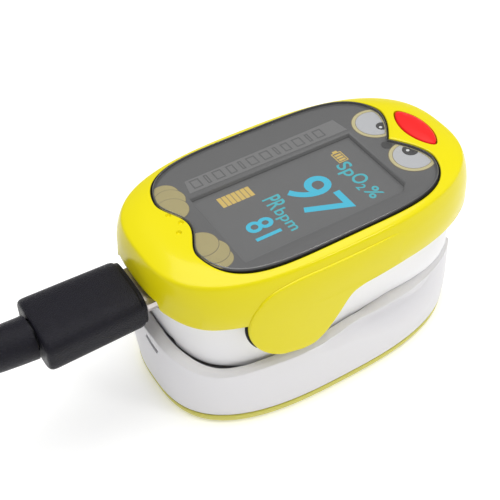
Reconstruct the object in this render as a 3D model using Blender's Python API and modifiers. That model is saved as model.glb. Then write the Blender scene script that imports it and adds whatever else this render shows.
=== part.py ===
"""Fingertip pulse oximeter with its charging lead.

Frame: +X towards the finger opening, -X towards the charging socket, +Z up.
The origin is the centre of the base, on the surface it stands on.
Sizes below are in millimetres; MM turns them into Blender's metres.
"""

import math

import bmesh
import bpy
from mathutils import Matrix, Vector

MM = 0.001

# Whole body
HALF_LENGTH = 26.9
HALF_WIDTH = 15.9
COVER_MIDDLE = (0.35, 0)
HEIGHT = 29.0
OUTLINE_POINTS = 48
GAP = 0.3

# Bottom cover and lower shell
BASE_HALF = (25.1, 15.3)
LOWER_MIDDLE = (-0.4, 0)
BASE_THICK = 1.5
RIM_HALF = (25.9, 14.8)
LOWER_WALL = 1.2
LOWER_DECK = (6.7, 7.6)

# Upper shell and top cover
UPPER_TOP_HALF = (24.6, 14.2)
UPPER_LOW_HALF = (24.0, 13.1)
UPPER_WALL = 1.2
UPPER_DECK = (18.7, 19.6)
COVER_LOW = 20.9
COVER_WALL = 1.3
COVER_CEILING = 26.6

# Display window and what lies under it
WINDOW_HALF = (19.6, 13.3)
WINDOW_THICK = 1.05
FRONT_NOTCH = (3.5, 7.0)
REAR_NOTCH = (2.2, 6.3)
PANEL_LOW = (-14.3, -10.1)
PANEL_HIGH = (12.4, 9.2)
BOARD_Z = (22.9, 23.9)
BRACKET_TOP = 25.9

# Hinge
PIVOT = (-10.5, 16.0)
PIN_RADIUS = 1.0
SPRING_RADIUS = 1.85
SPRING_WIRE = 0.34
PIN_HALF = 12.9
BORE_RADIUS = 1.15
EAR_Y = (8.9, 10.6)
BOSS_Y = (11.0, 12.7)
KNUCKLE_RADIUS = 2.2

# Small fixings
POST_RADIUS = 1.9
RIBBON_THICK = 0.2
SCREW_PLACES = [(x, y) for x in (-17.5, 17.5) for y in (-9.0, 9.0)]
BOARD_SCREWS = [(-19.0, 7.4), (16.8, -7.6)]

# Power button, and the wings that cover the hinge
BUTTON_X = 21.4
BUTTON_HALF = (4.65, 1.9)
WING_MIDDLE = (-10.4, 20.0)
WING_RADIUS = 6.6
WING_PROUD = 0.25

# Finger tunnel
TUNNEL_Z = 13.6
TUNNEL_HALF = (7.6, 3.7)
PAD_REAR = -5.5
LOWER_PAD = (23.9, 11.5)
UPPER_PAD = (22.2, 11.2)

# Charging socket, plug and cord
PORT_Z = 21.0
PORT_MOUTH = -24.9
SOCKET_DEPTH = 7.3
PLUG_HALF = (4.17, 1.28)
OVERMOLD = (-41.5, -27.0)
OVERMOLD_HALF = (5.5, 3.1)
OVERMOLD_FRONT = 0.93
BOOT_END = -48.5
BOOT_RISE = 0.5
CORD_RADIUS = 2.0
CORD_BORE = 2.4
CORD_START = -40.0
COIL_MIDDLE = (-100.0, 11.5)
COIL_RADIUS = 20.3
COIL_BAND = 14.6
COIL_Z = (0.9, 9.1)
TIE_WIDTH = 7.0
TIE_THICK = 0.6
TAIL_LOW = 11.5
TAIL_TURN = 13.0
FAR_PLUG = (-111.0, 24.5, 13.5)
FAR_BODY_HALF = (7.8, 3.9)
FAR_METAL_HALF = (6.0, 2.25)


# ---------------------------------------------------------------- scene set-up

for old in list(bpy.data.objects):
    bpy.data.objects.remove(old, do_unlink=True)

parts = bpy.data.collections.new("pulse_oximeter")
helpers = bpy.data.collections.new("cutters")
bpy.context.scene.collection.children.link(parts)
bpy.context.scene.collection.children.link(helpers)
helpers.hide_render = True


def material(name, colour, roughness, metallic=0.0):
    made = bpy.data.materials.new(name)
    made.use_nodes = True
    shader = made.node_tree.nodes["Principled BSDF"]
    shader.inputs["Base Color"].default_value = (*colour, 1.0)
    shader.inputs["Roughness"].default_value = roughness
    shader.inputs["Metallic"].default_value = metallic
    return made


YELLOW = ((0.83, 0.66, 0.02), 0.35)
WHITE = ((0.78, 0.77, 0.79), 0.4)
SILICONE = ((0.82, 0.82, 0.81), 0.6)
RED = ((0.85, 0.04, 0.03), 0.35)
BLACK = ((0.02, 0.02, 0.025), 0.55)
SMOKE = ((0.05, 0.05, 0.05), 0.1)
BOARD = ((0.02, 0.16, 0.06), 0.5)
STEEL = ((0.6, 0.6, 0.62), 0.3, 1.0)
SILVER = ((0.55, 0.56, 0.58), 0.4, 0.3)
AMBER = ((0.6, 0.3, 0.05), 0.5)
TIE_GREY = ((0.05, 0.05, 0.05), 0.8)


def add(name, mesh, look=None, matrix=None):
    """Puts a mesh in the scene: a part when it has a look, else a hidden cutter."""
    piece = bpy.data.objects.new(name, mesh)
    if matrix is not None:
        piece.matrix_world = matrix
    if look is None:
        helpers.objects.link(piece)
        piece.hide_render = True
        piece.display_type = "WIRE"
        return piece
    parts.objects.link(piece)
    mesh.materials.append(material(name, *look))
    mesh.shade_smooth()
    mesh.set_sharp_from_angle(angle=math.radians(35))
    return piece


# ---------------------------------------------------------------- outlines

def rounded(half_length, half_width, rear_power=2.9, front_power=2.6, count=OUTLINE_POINTS, middle=(0, 0)):
    """A boxy oval, as points at even angles round its middle. A power of 2 makes a true oval."""
    points = []
    for i in range(count):
        angle = math.tau * i / count
        across, along = abs(math.sin(angle)) / half_width, abs(math.cos(angle)) / half_length
        power = front_power if math.cos(angle) > 0 else rear_power
        reach = (across ** power + along ** power) ** (-1 / power)
        points.append((middle[0] + reach * math.cos(angle), middle[1] + reach * math.sin(angle)))
    return points


def window_outline(inset):
    """The window's oval, notched at both ends: pointed at the front, round at the rear."""
    points = []
    for x, y in rounded(WINDOW_HALF[0] - inset, WINDOW_HALF[1] - inset, 4.0, 4.0, 64):
        depth, reach = FRONT_NOTCH if x > 0 else REAR_NOTCH
        near = max(0.0, 1 - abs(y) / reach)
        dip = near ** 1.6 if x > 0 else math.sin(near * math.pi / 2) ** 2
        points.append((x - math.copysign(depth * dip, x), y))
    return points


def almond(half_length, half_width, x, count=24):
    """A leaf shape across the body, pointed at both ends."""
    points = []
    for i in range(count):
        angle = math.tau * i / count
        along = math.cos(angle)
        points.append((x + half_width * math.sin(angle) * (1 - 0.25 * along * along), half_length * along))
    return points


def stadium(half_length, half_height, segments=6):
    """A flat oval with fully round ends."""
    flat = half_length - half_height
    points = []
    for side in (1, -1):
        for i in range(segments + 1):
            angle = -math.pi / 2 + math.pi * i / segments
            reach = flat + half_height * math.cos(angle)
            points.append((side * reach, side * half_height * math.sin(angle)))
    return points


# ---------------------------------------------------------------- solids

def loft(name, sections, look=None, axis="Z"):
    """A closed solid through unlike outlines. Axis Z stacks (z, points in x and y) upwards;
    axis X sets (x, points in y and z) one behind another."""
    mesh = bpy.data.meshes.new(name)
    made = bmesh.new()
    rings = []
    for level, outline in sections:
        places = [(a, b, level) if axis == "Z" else (level, a, b) for a, b in outline]
        rings.append([made.verts.new(Vector(place) * MM) for place in places])
    for low, high in zip(rings, rings[1:]):
        for i in range(len(low)):
            j = (i + 1) % len(low)
            made.faces.new((low[i], low[j], high[j], high[i]))
    made.faces.new(reversed(rings[0]))
    made.faces.new(rings[-1])
    bmesh.ops.recalc_face_normals(made, faces=made.faces)
    made.to_mesh(mesh)
    made.free()
    return add(name, mesh, look)


def box(name, low, high, look=None, bevel=0.0):
    mesh = bpy.data.meshes.new(name)
    made = bmesh.new()
    size = [(b - a) * MM for a, b in zip(low, high)]
    middle = [(a + b) / 2 * MM for a, b in zip(low, high)]
    bmesh.ops.create_cube(made, size=1, matrix=Matrix.Translation(middle) @ Matrix.Diagonal((*size, 1)))
    made.to_mesh(mesh)
    made.free()
    piece = add(name, mesh, look)
    if bevel:
        edges = piece.modifiers.new("edges", "BEVEL")
        edges.width = bevel * MM
        edges.segments = 2
    return piece


def rod(name, start, end, radius, look=None, segments=20, end_radius=None):
    """A cylinder, or a cone when end_radius is given, from start to end."""
    mesh = bpy.data.meshes.new(name)
    made = bmesh.new()
    first, last = Vector(start) * MM, Vector(end) * MM
    turn = (last - first).to_track_quat("Z", "Y").to_matrix().to_4x4()
    bmesh.ops.create_cone(
        made,
        cap_ends=True,
        segments=segments,
        radius1=radius * MM,
        radius2=(radius if end_radius is None else end_radius) * MM,
        depth=(last - first).length,
        matrix=Matrix.Translation((first + last) / 2) @ turn,
    )
    made.to_mesh(mesh)
    made.free()
    return add(name, mesh, look)


def slab(name, outline, low, high, look=None, axis="Z", round_edge=0.0):
    """A flat outline with a thickness. Axis Z takes (x, y); Y takes (x, z); X takes (y, z)."""
    curve = bpy.data.curves.new(name, "CURVE")
    curve.dimensions = "2D"
    curve.fill_mode = "BOTH"
    curve.extrude = (high - low) / 2 * MM
    line = curve.splines.new("POLY")
    line.points.add(len(outline) - 1)
    line.use_cyclic_u = True
    for point, (a, b) in zip(line.points, outline):
        point.co = (a * MM, b * MM, 0, 1)
    middle = (low + high) / 2 * MM
    if axis == "Z":
        place = Matrix.Translation((0, 0, middle))
    elif axis == "Y":
        place = Matrix.Translation((0, middle, 0)) @ Matrix.Rotation(math.pi / 2, 4, "X")
    else:
        turn = Matrix(((0, 0, 1, 0), (1, 0, 0, 0), (0, 1, 0, 0), (0, 0, 0, 1)))
        place = Matrix.Translation((middle, 0, 0)) @ turn
    piece = as_mesh(name, curve, place, look)
    if round_edge:
        edges = piece.modifiers.new("edges", "BEVEL")
        edges.width = round_edge * MM
        edges.segments = 2
        edges.angle_limit = math.radians(50)
    return piece


def as_mesh(name, curve, place, look):
    """Turns a curve into a welded mesh object."""
    source = bpy.data.objects.new(name + "_curve", curve)
    bpy.context.scene.collection.objects.link(source)
    source.matrix_world = place
    bpy.context.view_layer.update()
    graph = bpy.context.evaluated_depsgraph_get()
    mesh = bpy.data.meshes.new_from_object(source.evaluated_get(graph))
    mesh.name = name
    mesh.materials.clear()
    made = bmesh.new()
    made.from_mesh(mesh)
    bmesh.ops.remove_doubles(made, verts=made.verts, dist=0.00001)
    bmesh.ops.recalc_face_normals(made, faces=made.faces)
    made.transform(place)
    made.to_mesh(mesh)
    made.free()
    bpy.data.objects.remove(source, do_unlink=True)
    return add(name, mesh, look)


def wire(name, points, radius, look, resolution=2):
    """A round wire through the points, in a POLY spline with filled caps."""
    curve = bpy.data.curves.new(name, "CURVE")
    curve.dimensions = "3D"
    curve.bevel_depth = radius * MM
    curve.bevel_resolution = resolution
    curve.use_fill_caps = True
    line = curve.splines.new("POLY")
    line.points.add(len(points) - 1)
    for point, place in zip(line.points, points):
        point.co = (*(Vector(place) * MM), 1)
    piece = bpy.data.objects.new(name, curve)
    parts.objects.link(piece)
    curve.materials.append(material(name, *look))
    return piece


def turned(name, profile, middle, look):
    """A solid of revolution about a vertical axis: profile holds (radius, z), closed."""
    mesh = bpy.data.meshes.new(name)
    made = bmesh.new()
    points = [made.verts.new((radius * MM, 0, z * MM)) for radius, z in profile]
    for i in range(len(points)):
        made.edges.new((points[i], points[(i + 1) % len(points)]))
    made.to_mesh(mesh)
    made.free()
    piece = add(name, mesh, look)
    piece.location = (middle[0] * MM, middle[1] * MM, 0)
    spin = piece.modifiers.new("spin", "SCREW")
    spin.steps = 40
    spin.render_steps = 40
    spin.use_merge_vertices = True
    spin.merge_threshold = 0.00001
    return piece


def cut(piece, tool, operation="DIFFERENCE"):
    change = piece.modifiers.new(tool.name, "BOOLEAN")
    change.operation = operation
    change.object = tool
    change.solver = "EXACT"


def join(piece, tool):
    cut(piece, tool, "UNION")


def ease(value):
    """0 to 1 with a level start and end."""
    value = min(1.0, max(0.0, value))
    return value * value * (3 - 2 * value)


# ---------------------------------------------------------------- parting lines

LOWER_RIM = (
    (-30, 15.1), (-26.1, 14.9), (-25.8, 14.1), (-25.3, 13.5), (-24.6, 13.0), (-23.7, 12.1), (-22.7, 11.5),
    (-21.6, 11.15), (-20.4, 11.0), (-17.9, 11.1), (-15, 11.35), (-12, 11.4), (-9, 11.35), (-5.4, 11.5),
    (-4, 11.85), (-1.5, 12.35), (1.2, 12.55), (4.8, 12.7), (20, 12.7), (30, 12.7),
)
UPPER_EDGE = (
    (-30, 14.0), (-24.1, 13.75), (-23.9, 13.1), (-23.4, 12.5), (-22.6, 11.8), (-21.7, 11.2), (-20.7, 10.7),
    (-19.6, 10.45), (-18.4, 10.2), (-17, 9.9), (-14, 9.6), (-8, 9.5), (-5, 9.8), (-3, 10.4), (-0.4, 11.15),
    (2.3, 12.1), (6, 12.8), (8, 13.15), (12, 13.3), (30, 13.4),
)


def smooth(points, steps=3):
    """A Catmull-Rom curve through flat points."""
    ends = [points[0], *points, points[-1]]
    out = []
    for a, b, c, d in zip(ends, ends[1:], ends[2:], ends[3:]):
        for i in range(steps):
            t = i / steps
            out.append(tuple(
                0.5 * (2 * b[k] + (c[k] - a[k]) * t + (2 * a[k] - 5 * b[k] + 4 * c[k] - d[k]) * t * t
                       + (3 * b[k] - a[k] - 3 * c[k] + d[k]) * t ** 3)
                for k in range(len(b))
            ))
    return [*out, points[-1]]


def side_cutter(name, line, beyond):
    """A block across the whole body on one side, above or below, of a line seen from the side."""
    edge = smooth(line, 2)
    return slab(name, [*edge, (edge[-1][0], beyond), (edge[0][0], beyond)], -20, 20, axis="Y")


# ---------------------------------------------------------------- lower half

def bottom_cover():
    half_length, half_width = BASE_HALF
    cover = loft("bottom_cover", [
        (0, rounded(half_length - 0.9, half_width - 0.9, middle=LOWER_MIDDLE)),
        (0.5, rounded(half_length - 0.2, half_width - 0.2, middle=LOWER_MIDDLE)),
        (BASE_THICK, rounded(half_length, half_width, middle=LOWER_MIDDLE)),
    ], YELLOW)
    for number, (x, y) in enumerate(SCREW_PLACES, 1):
        cut(cover, rod(f"screw_hole_{number}", (x, y, -1), (x, y, 3), 0.95))
        cut(cover, rod(f"screw_sink_{number}", (x, y, -1), (x, y, 0.85), 1.75))


def bottom_screws():
    """Countersunk screws from below, each up into a post of the lower shell."""
    for number, (x, y) in enumerate(SCREW_PLACES, 1):
        screw = rod(f"bottom_screw_{number}", (x, y, 0.15), (x, y, 0.75), 1.4, STEEL, 16)
        join(screw, rod(f"screw_shank_{number}", (x, y, 0.6), (x, y, 5.4), 0.65, segments=12))
        cut(screw, box(f"screw_slot_{number}", (x - 1.0, y - 0.2, 0), (x + 1.0, y + 0.2, 0.4)))


def lower_sections(inset, low, high):
    """Outlines of the lower shell, from its narrow base up to its widest at the rim."""
    sections = []
    for z in (low, 4.5, 8.0, 12.0, high):
        share = ease(z / 11.0) ** 0.8
        length = BASE_HALF[0] + (RIM_HALF[0] - BASE_HALF[0]) * share
        width = BASE_HALF[1] + (RIM_HALF[1] - BASE_HALF[1]) * share
        sections.append((z, rounded(length - inset, width - inset, 2.8, 2.6, middle=LOWER_MIDDLE)))
    return sections


def lower_shell():
    shell = loft("lower_shell", lower_sections(0, BASE_THICK + GAP, 17.5), WHITE)
    cut(shell, side_cutter("lower_rim_cutter", LOWER_RIM, 40))
    inner = lower_sections(LOWER_WALL, 3.0, 20)
    tub = loft("lower_tub_cutter", [(LOWER_DECK[1], inner[2][1]), *inner[3:]])
    cut(shell, tub)
    pocket = rounded(BASE_HALF[0] - 1.6, BASE_HALF[1] - 1.6, 2.9, 2.6, 32, LOWER_MIDDLE)
    under = loft("lower_pocket_cutter", [(0, pocket), (LOWER_DECK[0], pocket)])
    cut(shell, under)
    for number, (x, y) in enumerate(SCREW_PLACES, 1):
        low, high = (x, y, BASE_THICK + GAP), (x, y, LOWER_DECK[1] - 0.2)
        join(shell, rod(f"lower_post_{number}", low, high, POST_RADIUS, segments=16))
        cut(shell, rod(f"lower_post_hole_{number}", (x, y, 0), (x, y, 5.9), 0.95, segments=12))
    for side, name in ((-1, "right"), (1, "left")):
        low, high = sorted(side * y for y in EAR_Y)
        foot = LOWER_DECK[0] + 0.3
        ear = [(PIVOT[0] - 2.6, foot), (PIVOT[0] + 2.6, foot), *knuckle(0)]
        join(shell, slab(f"hinge_ear_{name}", ear, low, high, axis="Y"))
    cut(shell, hinge_bore("lower_hinge_bore"))
    cut(shell, mouth_cutter("lower_mouth_cutter"))
    for side in (-1, 1):
        slot = box(f"lanyard_slot_{'right' if side < 0 else 'left'}", (-1.5, -1.55, -0.35), (2.5, 1.55, 0.35))
        place = Matrix.Translation((-25.6 * MM, side * 2.5 * MM, 12.1 * MM))
        slot.matrix_world = place @ Matrix.Rotation(-side * math.radians(24), 4, "X")
        cut(shell, slot)
    cut(shell, box("lower_ribbon_slot", (-16.4, -3.2, 5), (-14.4, 3.2, 9)))


def knuckle(start):
    """Half a circle round the hinge's axis, seen from the side: 0 is the upper half, 180 the lower."""
    x, z = PIVOT
    angles = [math.radians(start + 180 * i / 8) for i in range(9)]
    return [(x + KNUCKLE_RADIUS * math.cos(a), z + KNUCKLE_RADIUS * math.sin(a)) for a in angles]


def hinge_bore(name):
    return rod(name, (PIVOT[0], -PIN_HALF - 0.3, PIVOT[1]), (PIVOT[0], PIN_HALF + 0.3, PIVOT[1]), BORE_RADIUS)


def mouth_cutter(name):
    """The oval way in for the finger, through the front walls of both shells."""
    oval = rounded(TUNNEL_HALF[0] + 1.4, TUNNEL_HALF[1] + 1.3, 2, 2, 28, (0, TUNNEL_Z))
    return slab(name, oval, 20.0, 32, axis="X")


def rechargeable_cell():
    box("rechargeable_cell", (-13, -9, 2.0), (13, 9, 6.2), SILVER, bevel=0.6)


def emitter_board():
    board = box("emitter_board", (-2, -6.5, 7.9), (18, 6.5, 8.7), BOARD)
    join(board, box("emitter_lamp", (5.5, -1.6, 8.5), (9.5, 1.6, 9.3)))


def lower_finger_pad():
    """A soft trough: its flanges stand a little above the rim of the shell."""
    pad = pad_block("lower_finger_pad", LOWER_DECK[1] + 1.4, 13.2, LOWER_PAD)
    cut(pad, side_cutter("lower_pad_top", [(x, z + 0.9) for x, z in LOWER_RIM], 40))
    cut(pad, tunnel_cutter("lower_tunnel_cutter"))
    cut(pad, box("lower_lamp_window", (5.0, -2.1, 8), (10.0, 2.1, 12)))


def pad_block(name, low, high, half):
    """The rough shape of a pad: the front of the body's own oval, cut square behind."""
    half_width = half[1]
    outline = [(x, y) for x, y in rounded(*half, 2.9, 2.6, 40) if x > PAD_REAR + 2]
    upper = sorted((p for p in outline if p[1] >= 0), key=lambda p: p[0])
    lower = sorted((p for p in outline if p[1] < 0), key=lambda p: -p[0])
    ends = [(PAD_REAR, -half_width), (PAD_REAR, half_width)]
    return loft(name, [(low, ends + upper + lower), (high, ends + upper + lower)], SILICONE)


def tunnel_cutter(name):
    """The finger's own space: a blunt-ended oval tunnel, open at the front."""
    sections = []
    rear = PAD_REAR
    for x, share in ((rear + 1.6, 0.72), (rear + 2.8, 0.9), (rear + 5.5, 1.0), (18.0, 1.0), (32.0, 1.22)):
        oval = rounded(TUNNEL_HALF[0] * share, TUNNEL_HALF[1] * share, 2, 2, 28, (0, TUNNEL_Z))
        sections.append((x, oval))
    return loft(name, sections, axis="X")


# ---------------------------------------------------------------- hinge

def hinge_pin():
    x, z = PIVOT
    rod("hinge_pin", (x, -PIN_HALF, z), (x, PIN_HALF, z), PIN_RADIUS, STEEL, 20)


def torsion_springs():
    """Each coil sits round the pin, with one leg under the upper deck and one on the lower deck."""
    x, z = PIVOT
    turns, pitch, per_turn = 4, 0.95, 12
    for side, name in ((-1, "right"), (1, "left")):
        points = [(x - 6.5, side * 3.6, UPPER_DECK[0] - 0.75)]
        begin = math.radians(100)
        for i in range(turns * per_turn + 5):
            angle = begin - math.tau * i / per_turn
            across = side * (3.7 + pitch * i / per_turn)
            points.append((x + SPRING_RADIUS * math.cos(angle), across, z + SPRING_RADIUS * math.sin(angle)))
        points.append((x - 6.0, points[-1][1], LOWER_DECK[1] + 0.75))
        wire(f"torsion_spring_{name}", points, SPRING_WIRE, STEEL, 1)


# Seen from the side: out of the lower half, up behind the hinge with slack, to the main board
RIBBON_ROUTE = (
    (-15.0, 7.9), (-17.6, 8.2), (-18.8, 10.0), (-18.9, 13.5), (-17.6, 16.4), (-16.6, 18.6), (-16.4, 22.3),
)


def flex_ribbon():
    """A thin flat ribbon along its route."""
    path = smooth(RIBBON_ROUTE, 3)
    front, back = [], []
    for i, (x, z) in enumerate(path):
        before, after = path[max(0, i - 1)], path[min(len(path) - 1, i + 1)]
        along = Vector((after[0] - before[0], after[1] - before[1])).normalized()
        front.append((x - along.y * RIBBON_THICK / 2, z + along.x * RIBBON_THICK / 2))
        back.append((x + along.y * RIBBON_THICK / 2, z - along.x * RIBBON_THICK / 2))
    return slab("flex_ribbon", front + back[::-1], -2.6, 2.6, AMBER, axis="Y")


# ---------------------------------------------------------------- upper half

def upper_shell():
    sections = []
    for z, share in ((9.0, 0.0), (13.0, 0.25), (17.0, 0.62), (COVER_LOW, 1.0), (22.2, 1.02)):
        length = UPPER_LOW_HALF[0] + (UPPER_TOP_HALF[0] - UPPER_LOW_HALF[0]) * share
        width = UPPER_LOW_HALF[1] + (UPPER_TOP_HALF[1] - UPPER_LOW_HALF[1]) * share
        sections.append((z, length, width))
    shell = loft("upper_shell", [(z, rounded(a, b)) for z, a, b in sections], WHITE)
    cut(shell, side_cutter("upper_edge_cutter", UPPER_EDGE, -10))
    foot, low, deck, tray = [rounded(a - UPPER_WALL, b - UPPER_WALL) for _, a, b in sections[:4]]
    cut(shell, loft("upper_tub_cutter", [(5, foot), (13, low), (UPPER_DECK[0], deck)]))
    cut(shell, loft("upper_tray_cutter", [(UPPER_DECK[1], tray), (25, tray)]))
    for side, name in ((-1, "right"), (1, "left")):
        low, high = sorted(side * y for y in BOSS_Y)
        root = UPPER_DECK[0] + 0.4
        boss = [(PIVOT[0] - KNUCKLE_RADIUS, root), *knuckle(180), (PIVOT[0] + KNUCKLE_RADIUS, root)]
        join(shell, slab(f"hinge_boss_{name}", boss, low, high, axis="Y"))
    cut(shell, hinge_bore("upper_hinge_bore"))
    cut(shell, box("port_pocket", (-30, -5.0, PORT_Z - 2.0), (PORT_MOUTH + 8.6, 5.0, 26)))
    cut(shell, box("upper_ribbon_slot", (-18.4, -3.2, 17), (-15.6, 3.2, 21)))
    cut(shell, mouth_cutter("upper_mouth_cutter"))
    cut(shell, box("sensor_window", (4.6, -2.6, 18), (10.4, 2.6, 20)))
    for number, (x, y) in enumerate(BOARD_SCREWS, 1):
        low, high = (x, y, UPPER_DECK[1] - 0.4), (x, y, BOARD_Z[0] - GAP)
        join(shell, rod(f"board_post_{number}", low, high, POST_RADIUS, segments=16))
        cut(shell, rod(f"board_post_hole_{number}", (x, y, 20.2), (x, y, 25), 0.85, segments=12))


def sensor_board():
    board = box("sensor_board", (0, -6.0, 17.4), (15, 6.0, 18.2), BOARD)
    join(board, box("photodiode", (5.6, -1.6, 17.0), (9.4, 1.6, 17.6)))


def upper_finger_pad():
    pad = pad_block("upper_finger_pad", 14.2, 17.0, UPPER_PAD)
    cut(pad, side_cutter("upper_pad_edge", [(x, max(z, 13.9) + 0.3) for x, z in UPPER_EDGE], -10))
    cut(pad, tunnel_cutter("upper_tunnel_cutter"))
    cut(pad, box("upper_diode_window", (5.0, -2.2, 13), (10.0, 2.2, 18)))


def main_board():
    board = slab("main_board", rounded(22.6, 11.6, 3.4, 3.0, 32), *BOARD_Z, BOARD)
    for number, (x, y) in enumerate(BOARD_SCREWS, 1):
        cut(board, rod(f"board_hole_{number}", (x, y, 20), (x, y, 26), 1.0, segments=12))


def board_screws():
    for number, (x, y) in enumerate(BOARD_SCREWS, 1):
        seat = BOARD_Z[1] + 0.1
        screw = rod(f"board_screw_{number}", (x, y, seat), (x, y, seat + 0.6), 1.3, STEEL, 16)
        join(screw, rod(f"board_shank_{number}", (x, y, 20.6), (x, y, seat + 0.3), 0.55, segments=12))


def charging_socket():
    """A flat-oval metal shell, open to the rear, with its contact tongue inside."""
    mouth, back = PORT_MOUTH, PORT_MOUTH + SOCKET_DEPTH
    outer = [(a, PORT_Z + b) for a, b in stadium(4.85, 1.75)]
    inner = [(a, PORT_Z + b) for a, b in stadium(4.5, 1.6)]
    tongue = [(-3.4, PORT_Z - 0.3), (3.4, PORT_Z - 0.3), (3.4, PORT_Z + 0.3), (-3.4, PORT_Z + 0.3)]
    shell = slab("charging_socket", outer, mouth, back, STEEL, axis="X")
    cut(shell, slab("socket_hollow", inner, mouth - 1, back - 0.6, axis="X"))
    join(shell, slab("socket_tongue", tongue, mouth + 1.2, back - 0.3, axis="X"))


def display_bracket():
    frame = box("display_bracket", (-15.2, -11.0, BOARD_Z[1] + GAP), (12.9, 9.6, BRACKET_TOP), WHITE)
    cut(frame, box("bracket_hollow", (-13.2, -9.0, 20), (10.9, 7.6, 30)))


def display_panel():
    box("display_panel", (*PANEL_LOW, 26.2), (*PANEL_HIGH, 27.5), SMOKE)


def display_window():
    """The smoked lens, with a small bevel round its top."""
    outline, bevel = window_outline(0), 0.25
    sides = [(HEIGHT - WINDOW_THICK, outline), (HEIGHT - bevel, outline)]
    loft("display_window", [*sides, (HEIGHT, window_outline(bevel))], SMOKE)


# The cover's outside, from its lower edge up: height, and distance in from its widest outline
COVER_PROFILE = ((COVER_LOW, 0.0), (24.0, 0.1), (26.4, 0.45), (27.7, 0.95), (28.5, 1.6), (28.9, 2.6))


def cover_rings(profile, proud=0.0):
    """The cover's oval at each height of a profile, for a loft."""
    rings = []
    for z, inset in profile:
        reach = proud - inset
        rings.append((z, rounded(HALF_LENGTH + reach, HALF_WIDTH + reach, middle=COVER_MIDDLE)))
    return rings


def top_cover():
    """The yellow cover: domed edges, a window recess, a button hole, a port notch and two wings."""
    cover = loft("top_cover", cover_rings(COVER_PROFILE), YELLOW)
    hollow = ((15, COVER_WALL), (24.8, COVER_WALL + 0.3), (COVER_CEILING, 2.95))
    cut(cover, loft("cover_cavity", cover_rings(hollow)))
    cut(cover, slab("window_recess", window_outline(-GAP), HEIGHT - WINDOW_THICK - GAP, 32))
    cut(cover, slab("window_opening", window_outline(1.2), 20, 32))
    for side, name in ((-1, "right"), (1, "left")):
        join(cover, wing(name, side))
    cut(cover, slab("button_hole", almond(BUTTON_HALF[0] + 0.35, BUTTON_HALF[1] + GAP, BUTTON_X), 20, 32))
    cut(cover, box("port_notch", (-32, -6.1, 15), (-22, 6.1, PORT_Z + 2.4)))


def wing(name, side):
    """A round lobe over the hinge that runs forwards along the cover, a little proud of its wall."""
    x, z = WING_MIDDLE
    outline = []
    for i in range(15):
        angle = math.radians(150 + 105 * i / 14)
        outline.append((x + WING_RADIUS * math.cos(angle), z + WING_RADIUS * math.sin(angle)))
    outline += smooth([(-9.4, 13.25), (-7.4, 13.5), (-5.4, 14.9), (-3.4, 17.3), (-1.4, 19.9), (0.6, 20.9)], 2)
    outline += [(8.0, 21.2), (8.0, 26.6), (-5.0, 26.8), (-9.4, 26.7), (-13.0, 26.0), (-15.0, 24.8)]
    low, high = sorted((side * HALF_WIDTH / 2, side * (HALF_WIDTH + 2)))
    lobe = slab(f"wing_{name}", outline, low, high, axis="Y")
    around = loft(f"wing_outside_{name}", cover_rings(((10, 0.0), *COVER_PROFILE), WING_PROUD))
    cut(lobe, around, "INTERSECT")
    hollow = ((10, COVER_WALL), (24.8, COVER_WALL + 0.3), (HEIGHT, COVER_WALL + 0.3))
    cut(lobe, loft(f"wing_inside_{name}", cover_rings(hollow)))
    return lobe


def power_button():
    button = slab("power_button", almond(*BUTTON_HALF, BUTTON_X), 27.3, HEIGHT + 0.4, RED, round_edge=0.25)
    join(button, rod("button_stem", (BUTTON_X, 0, 26.9), (BUTTON_X, 0, 27.6), 1.0, segments=16))


def tactile_switch():
    x = BUTTON_X
    body = box("tactile_switch", (x - 2.2, -2.6, BOARD_Z[1] + 0.1), (x + 2.2, 2.6, 25.7), BLACK)
    cut(body, rod("switch_bore", (x, 0, 24.6), (x, 0, 27), 1.2, segments=16))
    rod("switch_plunger", (x, 0, 25.2), (x, 0, 26.6), 0.85, STEEL, 16)


# ---------------------------------------------------------------- charging lead

def charging_plug():
    metal_outer = [(a, PORT_Z + b) for a, b in stadium(*PLUG_HALF)]
    metal_inner = [(a, PORT_Z + b) for a, b in stadium(PLUG_HALF[0] - 0.3, PLUG_HALF[1] - 0.3)]
    front = PORT_MOUTH + 5.3
    metal = slab("plug_metal_shell", metal_outer, OVERMOLD[1] + 0.3, front, STEEL, axis="X")
    cut(metal, slab("plug_hollow", metal_inner, PORT_MOUTH + 0.2, front + 1, axis="X"))
    rear, front = OVERMOLD
    sections = []
    for x, share in ((front, 0.86), (front - 0.6, OVERMOLD_FRONT), (rear + 0.8, 1.0), (rear, 0.9)):
        half_width, half_height = [half * share for half in OVERMOLD_HALF]
        sections.append((x, rounded(half_width, half_height, 3.6, 3.6, 28, (0, PORT_Z))))
    body = loft("plug_overmold", sections, BLACK, "X")
    cut(body, tube_cutter("overmold_bore", rear - 1, CORD_START + 9.0))
    boot = loft("plug_strain_relief", [
        (BOOT_END, rounded(2.75, 2.75, 2, 2, 20, (0, PORT_Z + BOOT_RISE))),
        (BOOT_END + 0.5, rounded(2.95, 2.95, 2, 2, 20, (0, PORT_Z + BOOT_RISE))),
        (rear - 3.0, rounded(3.05, 3.05, 2, 2, 20, (0, PORT_Z + BOOT_RISE * 0.3))),
        (rear - GAP, rounded(3.2, 3.05, 2, 2, 20, (0, PORT_Z))),
    ], BLACK, "X")
    cut(boot, tube_cutter("boot_bore", BOOT_END - 1, rear + 2))


def tube_cutter(name, start, end):
    """The blind bore that lets the plug slide back over the cord."""
    middle = PORT_Z + BOOT_RISE / 2
    return rod(name, (start, 0, middle), (end, 0, middle), CORD_BORE, segments=16)


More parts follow.
